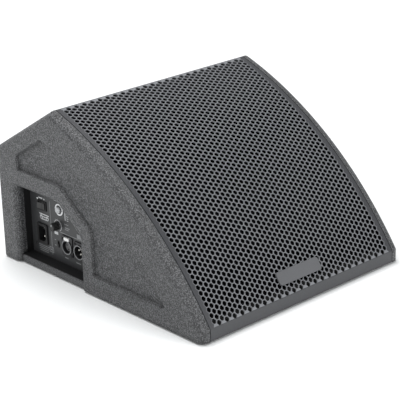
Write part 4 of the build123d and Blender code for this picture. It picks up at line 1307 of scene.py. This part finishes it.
@dataclass
class Studio:
    """Pale floor, soft light and the camera."""

    place: Color = (-1.4652, -1.6327, 0.9506)
    azimuth: float = -42.02
    elevation: float = 21.263
    roll: float = -1.718
    lens: float = 138.3
    sensor: float = 36.0
    fill: float = 0.32
    floor_near: float = 0.9
    floor_far: float = 4.0

    def build_camera(self) -> None:
        """Camera at a three-quarter view from the front left."""
        data = bpy.data.cameras.new("camera")
        data.lens = self.lens
        data.sensor_width = self.sensor
        data.clip_end = 50.0
        camera = add_object(data, "camera")
        turn = (
            Matrix.Rotation(math.radians(self.azimuth), 4, "Z")
            @ Matrix.Rotation(math.radians(90 - self.elevation), 4, "X")
            @ Matrix.Rotation(math.radians(self.roll), 4, "Z")
        )
        camera.matrix_world = Matrix.Translation(self.place) @ turn
        bpy.context.scene.camera = camera

    @staticmethod
    def lamp(name: str, at: Color, size: float, power: float) -> None:
        """Soft square lamp that points at the object.

        Args:
            name: name of the lamp.
            at: its place.
            size: length of its side.
            power: its power in watts.
        """
        data = bpy.data.lights.new(name, "AREA")
        data.shape = "SQUARE"
        data.size = size
        data.energy = power
        lamp = add_object(data, name)
        aim = Vector(AIM) - Vector(at)
        lamp.matrix_world = Matrix.Translation(at) @ aim.to_track_quat("-Z", "Y").to_matrix().to_4x4()

    def build_floor(self) -> None:
        """Large pale floor under the feet."""
        work = bmesh.new()
        bmesh.ops.create_grid(work, x_segments=1, y_segments=1, size=9.0)
        mesh = bpy.data.meshes.new("floor")
        work.to_mesh(mesh)
        work.free()
        material = bpy.data.materials.new("studio_floor")
        material.use_nodes = True
        shader = material.node_tree.nodes["Principled BSDF"]
        shader.inputs["Base Color"].default_value = (0.93, 0.94, 0.94, 1.0)
        shader.inputs["Roughness"].default_value = 0.75
        graph = Graph(material.node_tree)
        where = graph.add("ShaderNodeNewGeometry").outputs["Position"]
        reach = graph.add("ShaderNodeVectorMath", {0: where}, operation="LENGTH").outputs["Value"]
        glow = graph.remap(reach, (self.floor_near, self.floor_far))
        shader.inputs["Emission Color"].default_value = (1.0, 1.0, 1.0, 1.0)
        graph.tree.links.new(glow, shader.inputs["Emission Strength"])
        mesh.materials.append(material)
        floor = add_object(mesh, "floor")

    def light_world(self, world: bpy.types.World) -> None:
        """Even fill light, with a white backdrop where the camera sees past the floor.

        Args:
            world: the scene's world.
        """
        graph = Graph(world.node_tree)
        fill = world.node_tree.nodes["Background"]
        fill.inputs["Color"].default_value = (0.96, 0.98, 1.0, 1.0)
        fill.inputs["Strength"].default_value = self.fill
        backdrop = graph.add("ShaderNodeBackground", {"Color": (1.0, 1.0, 1.0, 1.0), "Strength": 1.0})
        seen = graph.add("ShaderNodeLightPath").outputs["Is Camera Ray"]
        both = graph.add(
            "ShaderNodeMixShader", {0: seen, 1: fill.outputs["Background"], 2: backdrop.outputs["Background"]}
        )
        graph.tree.links.new(both.outputs[0], world.node_tree.nodes["World Output"].inputs["Surface"])

    def build(self) -> None:
        """Make the studio."""
        scene = bpy.context.scene
        scene.view_settings.view_transform = "Standard"
        world = bpy.data.worlds.new("studio")
        world.use_nodes = True
        self.light_world(world)
        scene.world = world
        self.build_floor()
        for name, at, size, power in LAMPS:
            self.lamp(name, at, size, power)
        self.build_camera()


def main() -> None:
    """Dress the nodes, build the pieces and set the studio."""
    logging.basicConfig(level=logging.INFO, format="%(name)s: %(message)s")
    studio = Studio()
    studio.build()
    wardrobe = Wardrobe()
    wardrobe.dress_nodes()
    log.info("%d packed nodes dressed", len(frame["nodes"]))
    Grille(wardrobe).build()
    left, right, down = Vector((-1, 0, 0)), Vector((1, 0, 0)), Vector((0, 0, -1))
    rear_slope = Vector((0.0, 0.5172, 0.8559))
    for node, slot, axis, drive in (
        ("plate_screws", "black_screw", left, Drive.STAR),
        ("xlr_screws", "black_screw", left, Drive.CROSS),
        ("handle_screws", "black_screw", right, Drive.STAR),
        ("pole_cup_screws", "black_screw", right, Drive.STAR),
        ("foot_screws", "zinc_screw", down, Drive.CROSS),
        ("grille_screws", "black_screw", rear_slope, Drive.STAR),
    ):
        ScrewSet(wardrobe, node, slot, axis, drive).build()
    ConnectorBay(wardrobe).build()
    Wadding(wardrobe).build()


if __name__ == "__main__":
    main()
